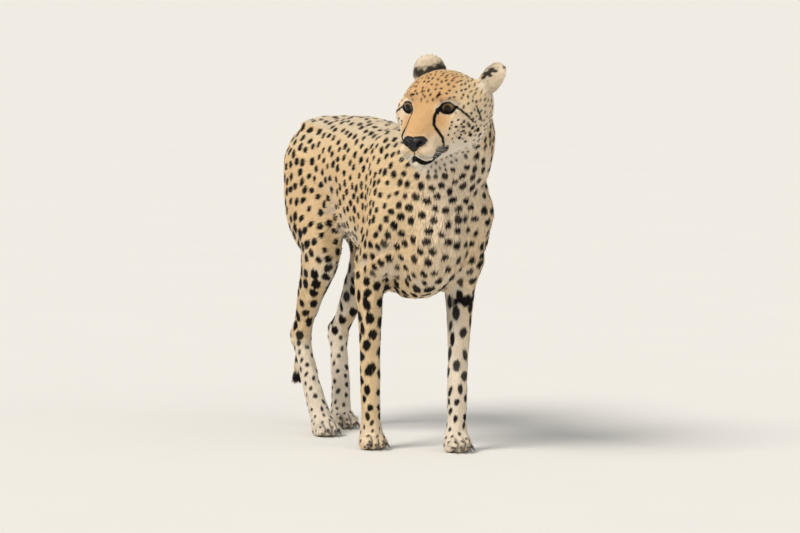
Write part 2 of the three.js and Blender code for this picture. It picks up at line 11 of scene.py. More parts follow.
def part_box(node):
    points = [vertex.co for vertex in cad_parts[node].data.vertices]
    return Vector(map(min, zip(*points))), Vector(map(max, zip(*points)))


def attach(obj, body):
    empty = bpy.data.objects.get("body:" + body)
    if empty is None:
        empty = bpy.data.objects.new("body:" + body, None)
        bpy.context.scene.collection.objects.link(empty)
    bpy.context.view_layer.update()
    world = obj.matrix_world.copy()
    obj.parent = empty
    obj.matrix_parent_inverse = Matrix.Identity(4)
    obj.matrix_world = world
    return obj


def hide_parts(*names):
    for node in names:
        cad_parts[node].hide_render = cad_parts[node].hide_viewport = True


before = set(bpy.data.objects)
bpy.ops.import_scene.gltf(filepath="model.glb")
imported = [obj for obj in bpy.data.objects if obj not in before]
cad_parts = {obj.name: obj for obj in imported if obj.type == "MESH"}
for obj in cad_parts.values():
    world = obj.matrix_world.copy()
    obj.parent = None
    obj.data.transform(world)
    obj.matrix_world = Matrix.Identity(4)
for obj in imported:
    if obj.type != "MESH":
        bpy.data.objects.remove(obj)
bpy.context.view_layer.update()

bl_info = {
    "name": "Cheetah looks",
    "version": (1, 0, 0),
    "blender": (4, 5, 0),
    "location": "3D View > Sidebar > Cheetah",
    "description": "Dresses the solid cheetah in skin, fur, eyes, nose leather, claws and whiskers",
    "category": "Object",
}

MM = 0.001


def vec(*values):
    return np.array(values, float)


EYES = ("eye_right", "eye_left")
NOSE = "nose_pad"
CLAWS = sorted(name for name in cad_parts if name.startswith("claw_"))
FLESH = sorted(set(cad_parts) - set(EYES) - set(CLAWS) - {NOSE})

HEAD_TURN = math.radians(-53)  # about the vertical, to the animal's right
HEAD_NOD = math.radians(13.5)  # nose down
EYE_CENTRE = vec(40.0, 7.0, 0.0)  # of the left eyeball in the head's own frame, mm
EYE_RADIUS = 20.0

# The body frame that the markings use, in mm: faces -Y, left is +X; HEAD_AT is midway between the eyes
HEAD_AT = vec(-103.0, -494.0, 758.0)


def middle(box):
    return (box[0] + box[1]) / 2


HEAD_AXES = Matrix.Rotation(HEAD_TURN, 3, "Z") @ Matrix.Rotation(HEAD_NOD, 3, "X")
BETWEEN_EYES = (middle(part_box("eye_right")) + middle(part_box("eye_left"))) / 2
HEAD_ORIGIN = BETWEEN_EYES - HEAD_AXES @ Vector((0, EYE_CENTRE[1] * MM, 0))
BODY_ORIGIN = np.array(HEAD_ORIGIN) / MM - HEAD_AT
TO_HEAD = np.array(HEAD_AXES)  # columns are the head's axes

# ---------------- small helpers


def linear(hex_colour):
    """A '#rrggbb' sRGB colour as linear RGBA."""
    parts = [int(hex_colour[i:i + 2], 16) / 255 for i in (1, 3, 5)]
    return tuple(c / 12.92 if c <= 0.04045 else ((c + 0.055) / 1.055) ** 2.4 for c in parts) + (1.0,)


def step(low, high, x):
    """Smooth step of x from 0 at low to 1 at high; low may be above high."""
    t = np.clip((x - low) / (high - low), 0, 1)
    return t * t * (3 - 2 * t)


def mix(a, b, t):
    return a + (b - a) * t


def unit(v):
    return v / np.maximum(np.linalg.norm(v, axis=-1, keepdims=True), 1e-9)


def in_body(points):
    """Metres in the part's frame to mm in the body frame."""
    return points / MM - BODY_ORIGIN


def in_head(body):
    """mm in the body frame to mm in the head's own frame: X left, -Y ahead, Z up, from between the eyes."""
    return (body - HEAD_AT) @ TO_HEAD


def away(points, centre, size=1.0):
    """Distance of each point from a centre, in units of size, which may differ along the three axes."""
    return np.linalg.norm((points - vec(*centre)) / size, axis=1)


def hump(distance, width):
    """A smooth hump, 1 at distance 0 and low beyond width."""
    return np.exp(-(distance / width) ** 2)


def turned(along, across, angle):
    """Turns two tangents together by an angle."""
    c, s = np.cos(angle)[:, None], np.sin(angle)[:, None]
    return along * c + across * s, across * c - along * s


def wobble(points, size, seed):
    """Smooth random values, about -1 to 1, that change over a length of size."""
    rng = np.random.default_rng(seed)
    total = np.zeros(len(points))
    for _ in range(6):
        wave = unit(rng.normal(size=3)) * rng.uniform(0.7, 1.4) * 2 * math.pi / size
        total += np.sin(points @ wave + rng.uniform(0, 2 * math.pi))
    return total / 3


OFF_SURFACE = 14  # how far off the surface a line of the face may lie, mm


def near_path(points, path, normal=None):
    """Distance from each point to a line through the path's points, and how far along it that is.
    With normals, the distance counts along the surface, and the line may lie a little off it."""
    path = np.array(path, float)
    best = np.full(len(points), 1e9)
    along = np.zeros(len(points))
    for i, (a, b) in enumerate(zip(path[:-1], path[1:])):
        t = np.clip((points - a) @ (b - a) / ((b - a) @ (b - a)), 0, 1)
        offset = points - a - t[:, None] * (b - a)
        if normal is not None:
            depth = np.sum(offset * normal, 1, keepdims=True)
            offset = offset - 0.9 * np.clip(depth, -OFF_SURFACE, OFF_SURFACE) * normal
        d = np.linalg.norm(offset, axis=1)
        closer = d < best
        best[closer] = d[closer]
        along[closer] = (i + t[closer]) / (len(path) - 1)
    return best, along


# ---------------- regions of the body


def head_share(body):
    """1 on the head, 0 on the neck and everywhere else."""
    h = in_head(body)
    ahead = -0.93 * (h[:, 1] - 118) + 0.36 * (h[:, 2] + 30)
    return step(-12, 8, ahead) * step(185, 165, away(h, (0, 30, -10)))


def ear_share(body):
    """1 on the two ears, and whether each point lies on the left half of the head."""
    h = in_head(body)
    right = step(46, 36, away(h, (-52, 134, 44))) * step(8, 14, h[:, 2])
    left = step(50, 40, away(h, (100, 116, 34))) * step(72, 80, h[:, 0])
    return np.maximum(right, left), h[:, 0] > 0


def leg_share(body):
    """1 on the free parts of the fore legs, and the same for the hind legs."""
    _, y, z = body.T
    fore = step(400, 345, z) * step(-60, -90, y)
    hind = step(420, 360, z) * step(0, 40, y) * step(305, 295, y)
    return fore, hind


def tail_share(body):
    x, y, z = body.T
    return step(286, 300, y + (640 - z) * 0.02) * step(640, 600, z) * step(60, 40, np.abs(x - 14))


def hair_length(body, normal):
    """How long the coat is, mm: shortest on muzzle and feet, longest on throat, chest and belly."""
    x, y, z = body.T
    h = in_head(body)
    head = head_share(body)
    legs = np.maximum(*leg_share(body))
    face = mix(3.2, 5.5, step(-60, 0, h[:, 1])) + 5.5 * step(30, 95, h[:, 1])
    face = mix(face, 14, step(70, 110, h[:, 1]) * step(-20, -60, h[:, 2]))
    length = np.full(len(body), 10.5)
    for part, share in (
            (18, step(-0.1, -0.75, normal[:, 2]) * step(340, 400, z)),  # belly
            (15, step(-300, -350, y) * step(620, 560, z) * step(80, 50, np.abs(x))),  # breast
            (13, step(-300, -380, y) * step(560, 640, z)),  # neck
            (8, legs),
            (6, legs * step(200, 110, z)),
            (4, step(70, 35, z)),  # feet
            (13, tail_share(body)),
            (face, head),
            (6, head * step(-98, -106, h[:, 2]) * step(-40, -56, h[:, 1])),  # chin
            (5.5, ear_share(body)[0])):
        length = mix(length, part, share)
    return length


def lie_of_coat(body, normal):
    """Unit tangents that the hair lies along: backward on the trunk, down the limbs, back from the nose."""
    _, y, z = body.T
    h = in_head(body)
    legs = np.maximum(*leg_share(body))
    down = vec(0, 0.2, -1)
    flow = np.tile([0.0, 1.0, -0.3], (len(body), 1))
    for way, share in (
            (down, step(560, 430, z) * step(-60, -120, y) * 0.75),  # shoulders
            (down, step(600, 400, z) * step(20, 120, y) * 0.85),  # haunches
            (down, legs),
            (vec(0, 0.1, -1), step(-300, -350, y) * step(660, 600, z)),  # breast
            (vec(0.12, 0.75, -0.8), step(-290, -360, y) * step(560, 640, z)),  # neck
            (vec(0, 0.05, -1), tail_share(body))):
        flow = mix(flow, way, share[:, None])
    spread = 0.15 + 0.5 * step(0, 20, np.abs(h[:, 0])) * step(-40, -90, h[:, 1])
    rise = 0.35 * step(-70, -20, h[:, 2]) - 0.45 * step(-30, -70, h[:, 2])
    back = np.stack([np.sign(h[:, 0]) * spread, np.ones(len(h)), rise], 1)
    back = mix(back, vec(0, 0.7, -0.8), (step(-78, -95, h[:, 2]) * 0.8)[:, None])  # chin
    ears, left = ear_share(body)
    outward = np.where(left[:, None], vec(0.7, 0.1, 0.7), vec(0, 0.15, 1))
    back = mix(back, outward, ears[:, None])
    flow = unit(mix(flow, back @ TO_HEAD.T, head_share(body)[:, None]))
    flow += 0.06 * np.stack([wobble(body, 60, s) for s in (11, 12, 13)], 1)
    return unit(flow - normal * np.sum(flow * normal, 1, keepdims=True))


# ---------------- the eyes' openings

GAZE = vec(0.405, -0.911, 0.071)  # of the left eye, in the head's frame
EYE_ALONG = unit(vec(0.906, 0.411, 0.109))  # from the inner to the outer corner
EYE_UP = np.cross(EYE_ALONG, GAZE)
EYE_MIDDLE = -2.6  # of the opening along EYE_ALONG, mm
EYE_HALF_WIDTH = 16.5
UPPER_LID = 7.5  # height of the opening above its middle, mm
LOWER_LID = 9.6  # and below it
LID_THICKNESS = 1.6
BEHIND_EYE = 99.0  # stands for "far from the opening"


def mirrored(h):
    """The head frame folded so that both sides read as the left one."""
    return np.concatenate([np.abs(h[:, :1]), h[:, 1:]], 1)


def eye_opening(h):
    """Signed distance, mm, to the edge of the nearer eye's opening, negative inside; the place from the
    eyeball's middle; and the place in the opening: -1 to 1 from corner to corner, and mm upward."""
    q = mirrored(h) - EYE_CENTRE
    u = (q @ EYE_ALONG - EYE_MIDDLE) / EYE_HALF_WIDTH
    w = q @ EYE_UP
    arch = np.maximum(1 - np.abs(u) ** 2.5, 0)
    slant = 1.6 * u  # the outer corner sits a little higher
    upper = UPPER_LID * arch * (1 - 0.12 * u) + slant
    lower = -LOWER_LID * arch * (1 + 0.1 * u) + slant
    outside = np.maximum(w - upper, lower - w)
    beyond = (np.abs(u) - 1) * EYE_HALF_WIDTH
    distance = np.where(beyond > 0, np.hypot(np.maximum(beyond, 0), np.maximum(outside, 0)), outside)
    return np.where(q @ GAZE > 0, distance, BEHIND_EYE), q, u, w


# ---------------- markings

# Lines of the face, as points in the head's frame, mm, on the left half
LIP_LINE = [(0, -100, -84), (10, -95, -91), (20, -86, -98), (31, -68, -101), (38, -52, -98), (43, -38, -88)]
TEAR_LINE = [(27, -25, -1), (28, -42, -11), (31, -53, -23), (39, -54, -36), (47, -52, -51), (46, -47, -66),
             (42, -38, -80)]
INNER_CORNER = [(26, -22, -1), (25, -25, -6)]
MOUTH_CORNER = [(34, -58, -95), (40, -46, -86), (43, -30, -83)]
OUTER_LINE = [(60, 0, 2), (73, 0, -7), (82, 8, -20), (85, 25, -38)]
CHEEK_LINE = [(89, 45, -15), (90, 49, -29), (90, 56, -44)]
BROW_DASH = [(28, -13, 29), (33, -13, 33)]
FOREHEAD_LINE = [(-13, 49, 58), (-6, 4, 42), (-9, -19, 22)]  # on the right half
EAR_STREAK = [(86, 101, 40), (94, 104, 45), (102, 109, 50)]
# Places and radii of the cheek's round spots
CHEEK_SPOTS = [
    (80, 27, -51, 4.5), (73, 27, -66, 4.2), (68, 8, -53, 3.4), (57, 7, -67, 3.6), (51, -9, -72, 2.6),
    (84, 44, -60, 4.8), (82, 56, -76, 5.0), (76, 64, -92, 5.0), (66, 60, -104, 4.6), (62, 24, -80, 3.0),
    (57, -21, -26, 2.3), (66, -9, -24, 2.4), (76, -2, -31, 2.6), (56, -32, -37, 2.4), (64, -18, -37, 2.5),
    (72, 0, -42, 2.8), (54, -40, -48, 2.3), (60, -20, -50, 2.7), (60, 8, -60, 2.6), (54, -26, -60, 2.2),
    (66, -12, -48, 2.2), (79, 14, -42, 3.2), (61, -28, -30, 1.8), (70, -6, -34, 2.0)]


def trunk_pale(body, normal):
    """Share of pale fur on everything but the head."""
    x, y, z = body.T
    fore, hind = leg_share(body)
    soft = 0.12 * wobble(body, 55, 21)
    chest = step(-150, -230, y)
    below = step(0.05 - 0.3 * chest, -0.65 - 0.2 * chest, normal[:, 2] + soft)
    inner = step(0.1, 0.75, -normal[:, 0] * np.sign(x) + soft) * step(470, 400, z)
    return np.maximum.reduce([
        (0.95 - 0.3 * chest) * below * step(330, 380, z),
        0.4 * step(-300, -345, y) * step(60, 30, np.abs(x)) * step(640, 560, z),  # middle of the breast
        inner * np.maximum(fore, hind) * 0.9,
        fore * (x > 0) * mix(0.45, 0.75, step(330, 200, z)),
        hind * step(235, 190, z) * 0.85,
        fore * (x < 0) * step(-0.2, -0.8, -normal[:, 1]) * 0.2,
        0.35 * step(90, 40, z),  # feet
        tail_share(body) * np.maximum(0.3, step(0.2, -0.6, normal[:, 1])) * 0.7,
        step(-330, -420, y) * step(700, 640, z) * step(-0.1, -0.7, normal[:, 1]) * 0.55,  # throat
        step(-340, -400, y) * step(560, 620, z) * 0.15])


def base_masks(body, normal):
    """Shares of pale, rich orange and grey fur at each point."""
    _, y, z = body.T
    h = in_head(body)
    m = mirrored(h)
    head = head_share(body)
    # Head: white under and over the eyes, on lips, chin and lower cheeks
    distance, _, _, w = eye_opening(h)
    around = step(17, 5, distance) * np.where(w < 0, 0.9, 0.55)
    face_pale = np.maximum.reduce([
        around,
        step(-71, -79, m[:, 2]) * step(0, -40, m[:, 1]) * 0.95,  # lips
        step(-42, -88, m[:, 2]) * step(-60, -10, m[:, 1]) * 0.9,  # cheeks
        0.45 * step(40, 60, m[:, 0]) * step(20, -30, m[:, 2]),  # sides of the face
        step(12, 24, m[:, 0]) * step(-26, -46, m[:, 1]) * step(-20, -34, m[:, 2]) * 0.42])  # muzzle
    pale = mix(trunk_pale(body, normal), np.clip(face_pale, 0, 1), head)
    rich = 0.25 * step(0.5, 0.0, normal[:, 2]) * step(420, 520, z) * step(-300, -240, y)
    brow = step(-62, -25, m[:, 2]) * step(105, 55, m[:, 1]) * step(66, 40, m[:, 0])
    snout = step(31, 22, m[:, 0]) * step(-8, -20, m[:, 1]) * step(-66, -52, m[:, 2])
    rich = mix(rich, np.clip(np.maximum(brow * 0.75, snout * 0.2) - 0.5 * around, 0, 1), head)
    grey = step(0.3, 0.85, normal[:, 2]) * step(600, 660, z) * step(-330, -250, y)
    grey = mix(grey, 0.25 * step(60, 120, h[:, 1]), head)
    # Ears: pale rims round a grey middle
    ears, left = ear_share(body)
    height, across, behind = ear_frame(h, normal, left)
    middle_share = step(25, 16, np.hypot(height - 34, across) + 4 * wobble(body, 10, 23))
    middle_share *= step(0.0, 0.5, behind) * np.where(left, 0.35, 1.0)
    grey = mix(grey, 0.15 + middle_share, ears)
    pale = mix(pale, 0.7 - 0.65 * middle_share, ears)
    return pale, rich * (1 - ears), np.clip(grey, 0, 1) * 0.85


def face_marks(body, normal):
    """Black marks of the face and ears, 0 to 1."""
    h = in_head(body)
    m = mirrored(h)
    head_normal = normal @ TO_HEAD
    n = head_normal * np.where(h[:, :1] < 0, [-1, 1, 1], [1, 1, 1])
    rough = 0.5 * wobble(body, 7, 31)
    # Rims of the eyes
    distance, _, u, w = eye_opening(h)
    thin = np.clip(w / 6, 0, 1) + 0.8 * np.clip(-u, 0, 1)
    marks = step(5.2, 3.6, distance + rough * 0.5 - thin)
    corner, _ = near_path(m, INNER_CORNER, n)
    marks = np.maximum(marks, step(5.5, 4.0, corner + rough))
    for path, width in ((TEAR_LINE, 3.5), (OUTER_LINE, 2.7), (CHEEK_LINE, 2.9), (BROW_DASH, 3.0)):
        d, t = near_path(m, path, n)
        half = width * (0.8 + 0.2 * np.sin(3 * t + 1.0))
        marks = np.maximum(marks, step(half + 0.9, half - 0.5, d + rough))
    for *place, r in CHEEK_SPOTS:
        d, _ = near_path(m, [place, vec(*place) + (0, 1, 0)], n)
        marks = np.maximum(marks, step(r + 0.9, r - 0.5, d + rough))
    d, _ = near_path(m, LIP_LINE, n)
    hidden = step(-4, -14, h[:, 0]) * step(-26, -14, h[:, 0])  # the right lip is white in front
    marks = np.maximum(marks, step(6.0, 4.4, d + rough) * (1 - hidden))
    # Dark stripes of the whisker rows, which follow the lip
    rows = step(0.35, 0.85, np.cos((d - 9.5) * 2 * math.pi / 4.6)) * step(6, 8, d) * step(24, 20, d)
    rows *= step(6, 12, m[:, 0]) * step(-50, -56, m[:, 2]) * step(-36, -46, m[:, 1])
    marks = np.maximum(marks, rows * 0.75)
    # Corner of the mouth, faintly striped by pale hairs
    d, _ = near_path(m, MOUTH_CORNER, n)
    pale_hairs = step(0.5, 0.9, np.cos((m[:, 1] + 0.6 * m[:, 2]) * 2 * math.pi / 5.5)) * step(3, 8, d)
    marks = np.maximum(marks, step(10.5, 8.0, d + 0.8 * rough) * (1 - 0.2 * pale_hairs))
    # Broken streak down the forehead
    d, t = near_path(h, FOREHEAD_LINE, head_normal)
    breaks = step(-0.5, 0.1, np.sin(t * 40 + wobble(body, 25, 34)))
    marks = np.maximum(marks, 0.85 * step(2.6, 1.0, d + 1.6 * wobble(body, 14, 33)) * breaks)
    # Groove under the nose
    groove = step(-84, -92, m[:, 1]) * step(1.6, 0.6, m[:, 0]) * step(-60, -66, m[:, 2])
    marks = np.maximum(marks, groove * step(-88, -82, m[:, 2])) * step(0.2, 0.8, head_share(body))
    # Right ear: a black band across the back, near its root; left ear: a streak and a dark tip
    ears, left = ear_share(body)
    height, _, behind = ear_frame(h, normal, left)
    band = step(47, 38, height + 4 * wobble(body, 14, 35) + 0.5 * rough)
    band *= step(16, 24, height) * step(0.0, 0.5, behind)
    d, _ = near_path(h, EAR_STREAK, head_normal)
    streak = step(10, 6, d + 4.5 * wobble(body, 9, 36) + 1.5 * rough)
    tip = step(6, 4, away(h, (125, 119, 54))) * 0.8
    return np.maximum(marks, np.where(left, np.maximum(streak, tip), band) * ears * 0.93)


def ear_frame(h, normal, left):
    """Height along the ear from its root, distance across it, and how far the surface faces its back."""
    n = normal @ TO_HEAD
    from_root = h - vec(82, 110, 14)
    height = np.where(left, from_root @ unit(vec(0.62, 0.18, 0.76)), h[:, 2] - 14)
    across = np.where(left, from_root @ unit(vec(0.76, 0, -0.62)), -52 - h[:, 0])
    behind = np.where(left, n @ unit(vec(-0.5, -0.8, 0.3)), n @ unit(vec(0.6, -0.8, 0.1)))
    return height, across, behind


def spot_plan(body, normal):
    """Spacing, half length, half width, all in mm, and darkness of the spots at each point."""
    x, y, z = body.T
    h = in_head(body)
    m = mirrored(h)
    fore, hind = leg_share(body)
    head = head_share(body)
    up = normal[:, 2]
    plan = np.tile([24.5, 7.6, 7.8, 1.0], (len(body), 1))
    for share, *sizes in (
            (step(0.45, 0.8, up) * step(560, 640, z), 22.5, 8.5, 5.6, 0.93),  # back
            (step(60, 150, y) * step(400, 460, z) * step(0.75, 0.4, up), 27.5, 10.2, 9.6, 1.0),  # rump
            (step(20, 100, y) * step(520, 440, z) * step(330, 360, z), 32, 13.5, 11.8, 1.0),  # thighs
            (step(-130, -190, y) * step(560, 480, z) * step(380, 420, z), 25.5, 9.6, 8.2, 1.0),  # upper arms
            (step(-0.45, -0.85, up) * step(330, 380, z), 34, 10, 7, 0.75),  # belly
            (step(-300, -345, y) * step(640, 580, z) * step(90, 60, np.abs(x)), 27, 8.6, 8.8, 0.97),  # breast
            (step(-290, -350, y) * step(580, 640, z), 23, 9.0, 6.8, 1.0),  # neck
            (fore, 29, 13.5, 9, 1.0),
            (fore * (x > 0), 34, 14.5, 7.5, 0.95),
            (fore * step(170, 110, z), 24, 9, 6, 1.0),
            (hind, 30, 12.5, 9.5, 1.0),
            (hind * step(240, 190, z), 21, 6.0, 4.6, 0.93),
            (step(75, 40, z), 17, 4.2, 3.4, 0.88),  # feet
            (tail_share(body), 27, 9, 8, 0.95),
            (head, 12.5, 3.7, 3.0, 0.85),
            (head * step(-8, 12, m[:, 2]) * step(20, 45, m[:, 1]), 11.5, 5.4, 1.9, 0.9),  # crown
            (head * step(80, 110, m[:, 1]), 17, 6.0, 3.6, 0.9)):  # nape
        plan = mix(plan, vec(*sizes), share[:, None])
    bare = np.maximum.reduce([
        head * step(2, -12, m[:, 1]) * step(26, 8, m[:, 2]),
        head * step(-66, -80, m[:, 2]) * step(50, 30, m[:, 1]),
        head * step(13, 8, np.abs(eye_opening(h)[0])),
        ear_share(body)[0]])
    plan[:, 3] *= 1 - bare
    return plan


SEEDS_PER_MM2 = 0.055  # places tried for a spot


def spot_seeds(skin, seed):
    """The spots, kept apart by the local spacing: place, normal, two tangents, half sizes and darkness."""
    rng = np.random.default_rng(seed)

    def even(body, normal):
        return np.full(len(body), SEEDS_PER_MM2)

    points, normals, _, _ = scattered(skin, np.ones(len(skin["tris"]), bool), even, rng)
    body = in_body(points)
    plan = spot_plan(body, normals)
    keep = plan[:, 3] > 0.3
    body, normals, plan = body[keep], normals[keep], plan[keep]
    chosen, taken = [], np.zeros((0, 3))
    for i, gap in enumerate(plan[:, 0] * 0.82):
        offset = taken - body[i]
        if not chosen or np.min(np.einsum("ij,ij->i", offset, offset)) >= gap * gap:
            chosen.append(i)
            taken = np.vstack([taken, body[i]])
    body, normals, plan = body[chosen], normals[chosen], plan[chosen]
    lie = lie_of_coat(body, normals)
    lie, across = turned(lie, np.cross(normals, lie), rng.normal(0, 0.22, len(body)))
    size = plan[:, 1:3] * rng.uniform(0.78, 1.2, (len(body), 2))
    dark = np.minimum(plan[:, 3] * rng.uniform(0.98, 1.06, len(body)), 1)
    return list(zip(body, normals, lie, across, size, dark))


def spot_marks(body, normal, seeds):
    """How much of each point is black spot, 0 to 1."""
    marks = np.zeros(len(body))
    order = np.argsort(body[:, 2], kind="stable")
    heights = body[order, 2]
    ragged = 0.1 * wobble(body, 9, 41) + 0.06 * wobble(body, 4, 42)
    for at, n, lie, across, (long, wide), dark in seeds:
        reach = long * 1.5
        low, high = np.searchsorted(heights, [at[2] - reach, at[2] + reach])
        near = order[low:high]
        for k in (0, 1):
            near = near[np.abs(body[near, k] - at[k]) < reach]
        offset = body[near] - at
        parts = offset @ lie / long, offset @ across / wide, offset @ n / (long * 2)
        d = np.sqrt(sum(part ** 2 for part in parts))
        soft = 1.4 / wide
        value = step(1 + soft, 1 - soft, d + ragged[near]) * dark
        value *= step(-0.1, 0.3, normal[near] @ n)
        marks[near] = np.maximum(marks[near], value)
    return marks


def toe_clefts(body):
    """1 in the clefts between the toes, 0 elsewhere."""
    x, y, z = body.T
    share = np.zeros(len(body))
    for left, right in zip(CLAWS[:-1], CLAWS[1:]):
        if left[:-1] != right[:-1]:
            continue  # the two are on different paws
        a, b = (in_body(np.array([middle(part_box(name))]))[0] for name in (left, right))
        line = hump(x - (a[0] + b[0]) / 2, 2.4)
        end = max(a[1], b[1])
        line *= step(end + 40, end + 24, y) * (np.abs(y - end) < 50) * step(38, 28, z)
        share = np.maximum(share, line)
    return share


def limb_marks_and_cleft_shade(body):
    """Dark marks of the limbs: the bar across the left elbow, the tail's rings and end; and painted shade in
    the toes' clefts.
    """
    x, y, z = body.T
    ragged = 5 * wobble(body, 30, 51)
    marks = step(10, 6, np.abs(z - 331 - 0.15 * (x - 90) + ragged))
    marks *= step(-250, -275, y) * step(60, 68, x) * step(128, 118, x)
    tail = tail_share(body)
    for height, half in ((268, 9), (232, 11), (196, 12), (158, 12)):
        ring = step(half + 2, half - 2, np.abs(z - height + 0.35 * (y - 330) + ragged))
        marks = np.maximum(marks, ring * tail)
    end = step(0, 1, step(122, 112, z + ragged) * step(86, 96, z + ragged))
    # the clefts between the toes get painted shade, in the dark fur's colour
    return np.maximum.reduce([marks, tail * end, 0.7 * toe_clefts(body)])


def coat_colour(body, normal, seeds):
    """Dark, pale, rich and grey shares of the coat, as one array of four columns."""
    pale, rich, grey = base_masks(body, normal)
    # the dark share also carries the painted shade of the toes' clefts
    marks = np.maximum(face_marks(body, normal), limb_marks_and_cleft_shade(body))
    tail_end = tail_share(body) * step(290, 270, body[:, 2])
    dark = np.maximum(marks, spot_marks(body, normal, seeds) * (1 - tail_end))
    return np.clip(np.stack([dark, pale, rich, grey], 1), 0, 1).astype(np.float32)


# ---------------- meshes as arrays


def vertex_values(mesh, key):
    """A mesh's points ("co") or normals ("normal") as an array."""
    values = np.empty(len(mesh.vertices) * 3, np.float32)
    mesh.vertices.foreach_get(key, values)
    return values.reshape(-1, 3).astype(float)


def read_skin(mesh):
    """A triangle mesh as arrays: points and normals in metres, triangles, and their areas in mm2."""
    points = vertex_values(mesh, "co")
    tris = np.empty(len(mesh.loops), np.int32)
    mesh.loops.foreach_get("vertex_index", tris)
    tris = tris.reshape(-1, 3)
    a, b, c = (points[tris[:, i]] for i in range(3))
    area = np.linalg.norm(np.cross(b - a, c - a), axis=1) / 2 / MM ** 2
    return {"points": points, "normals": vertex_values(mesh, "normal"), "tris": tris, "area": area}


def scattered(skin, chosen, density, rng):
    """Random points over the chosen triangles, so many per mm2: places, normals, triangles and weights
    of their corners."""
    index = np.flatnonzero(chosen)
    corners = skin["tris"][index]
    centre = skin["points"][corners].mean(1)
    normal = unit(skin["normals"][corners].mean(1))
    expected = skin["area"][index] * density(in_body(centre), normal)
    total = int(expected.sum())
    picks = np.searchsorted(np.cumsum(expected), rng.uniform(0, expected.sum(), total))
    picks = np.minimum(picks, len(index) - 1)
    r1, r2 = np.sqrt(rng.uniform(size=total)), rng.uniform(size=total)
    weights = np.stack([1 - r1, r1 * (1 - r2), r1 * r2], 1)
    corners = corners[picks]
    points = np.einsum("ij,ijk->ik", weights, skin["points"][corners])
    normals = unit(np.einsum("ij,ijk->ik", weights, skin["normals"][corners]))
    return points, normals, index[picks], weights


def smoothed(points, edges, share, passes):
    """Evens out a mesh without shrinking it: each pass draws points in and then pushes them back out."""
    count = np.maximum(np.bincount(edges.ravel(), minlength=len(points)), 1)
    ends = np.concatenate([edges[:, 0], edges[:, 1]])
    others = np.concatenate([edges[:, 1], edges[:, 0]])
    for _ in range(passes):
        for factor in (0.6, -0.61):
            mean = np.stack([np.bincount(ends, points[others, k], len(points)) for k in range(3)], 1)
            points = points + factor * share[:, None] * (mean / count[:, None] - points)
    return points


def mesh_edges(mesh):
    edges = np.empty(len(mesh.edges) * 2, np.int32)
    mesh.edges.foreach_get("vertices", edges)
    return edges.reshape(-1, 2)


def put_points(mesh, points):
    mesh.vertices.foreach_set("co", points.astype(np.float32).ravel())
    mesh.update()


def raw_mesh(name, points, corners, starts):
    """A mesh from arrays: points in metres, the faces' corners in a row, and where each face starts."""
    mesh = bpy.data.meshes.new(name)
    mesh.vertices.add(len(points))
    mesh.vertices.foreach_set("co", points.astype(np.float32).ravel())
    mesh.loops.add(len(corners))
    mesh.loops.foreach_set("vertex_index", corners.astype(np.int32))
    mesh.polygons.add(len(starts))
    mesh.polygons.foreach_set("loop_start", starts.astype(np.int32))
    mesh.update(calc_edges=True)
    return mesh


def new_object(name, data):
    """A new object in the scene; data may be a bmesh, which is then used up."""
    if isinstance(data, bmesh.types.BMesh):
        mesh = bpy.data.meshes.new(name)
        data.to_mesh(mesh)
        data.free()
        data = mesh
    item = bpy.data.objects.new(name, data)
    bpy.context.scene.collection.objects.link(item)
    return item


def add_mesh(bm, part):
    """Adds one bmesh to another and frees it."""
    mesh = bpy.data.meshes.new("part")
    part.to_mesh(mesh)
    part.free()
    bm.from_mesh(mesh)
    bpy.data.meshes.remove(mesh)


def settled(item):
    """Applies an object's modifiers."""
    depsgraph = bpy.context.evaluated_depsgraph_get()
    mesh = bpy.data.meshes.new_from_object(item.evaluated_get(depsgraph))
    item.modifiers.clear()
    item.data = mesh


def regridded(item, size):
    """Draws the object anew, as one closed surface, on a grid of so many metres."""
    grid = item.modifiers.new("grid", "REMESH")
    grid.mode = "VOXEL"
    grid.voxel_size = size
    settled(item)


def merged_copy(bm, name, swell=0.0):
    """Adds a welded copy of a solid's mesh, pushed out by swell metres."""
    part = bmesh.new()
    part.from_mesh(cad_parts[name].data)
    bmesh.ops.remove_doubles(part, verts=part.verts, dist=1e-5)
    part.normal_update()
    for vert in part.verts:
        vert.co += vert.normal * swell
    add_mesh(bm, part)


def finish_piece(item, material, nodes):
    """Gives a piece its material, and tells the frame what it replaces and belongs to."""
    item.data.materials.append(material)
    item.data.shade_smooth()
    if nodes:
        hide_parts(*nodes)
    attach(item, "root")


# ---------------- materials


def node(tree, kind, settings=None, links=None):
    """Adds a node, with its settings by property or input name and its links by input name."""
    item = tree.nodes.new(kind)
    for key, value in (settings or {}).items():
        if hasattr(item, key):
            setattr(item, key, value)
        else:
            item.inputs[key].default_value = value
    for key, source in (links or {}).items():
        tree.links.new(source, item.inputs[key])
    return item


def new_material(name):
    material = bpy.data.materials.new(name)
    material.use_nodes = True
    material.node_tree.nodes.clear()
    return material, material.node_tree


def attribute(tree, name, output="Fac"):
    return node(tree, "ShaderNodeAttribute", {"attribute_name": name}).outputs[output]


def noise(tree, size, **settings):
    """Cloudy noise in the object's own coordinates, in patches about size mm across."""
    settings = {"Scale": 1 / (size * MM), **settings}
    place = node(tree, "ShaderNodeTexCoord").outputs["Object"]
    return node(tree, "ShaderNodeTexNoise", settings, {"Vector": place}).outputs["Fac"]


def bumped(tree, height, strength, depth, **settings):
    """A bump that is depth mm high."""
    return node(tree, "ShaderNodeBump", {"Strength": strength, "Distance": depth * MM, **settings},
                {"Height": height}).outputs["Normal"]


def surfaced(material, colour, roughness, normal=None, **settings):
    """Ends a material with its surface; the settings' names have _ for spaces."""
    tree = material.node_tree
    settings = {key.replace("_", " "): value for key, value in settings.items()}
    links = {"Base Color": colour, **({"Normal": normal} if normal else {})}
    shader = node(tree, "ShaderNodeBsdfPrincipled", {"Roughness": roughness, **settings}, links)
    node(tree, "ShaderNodeOutputMaterial", links={"Surface": shader.outputs[0]})
    return material


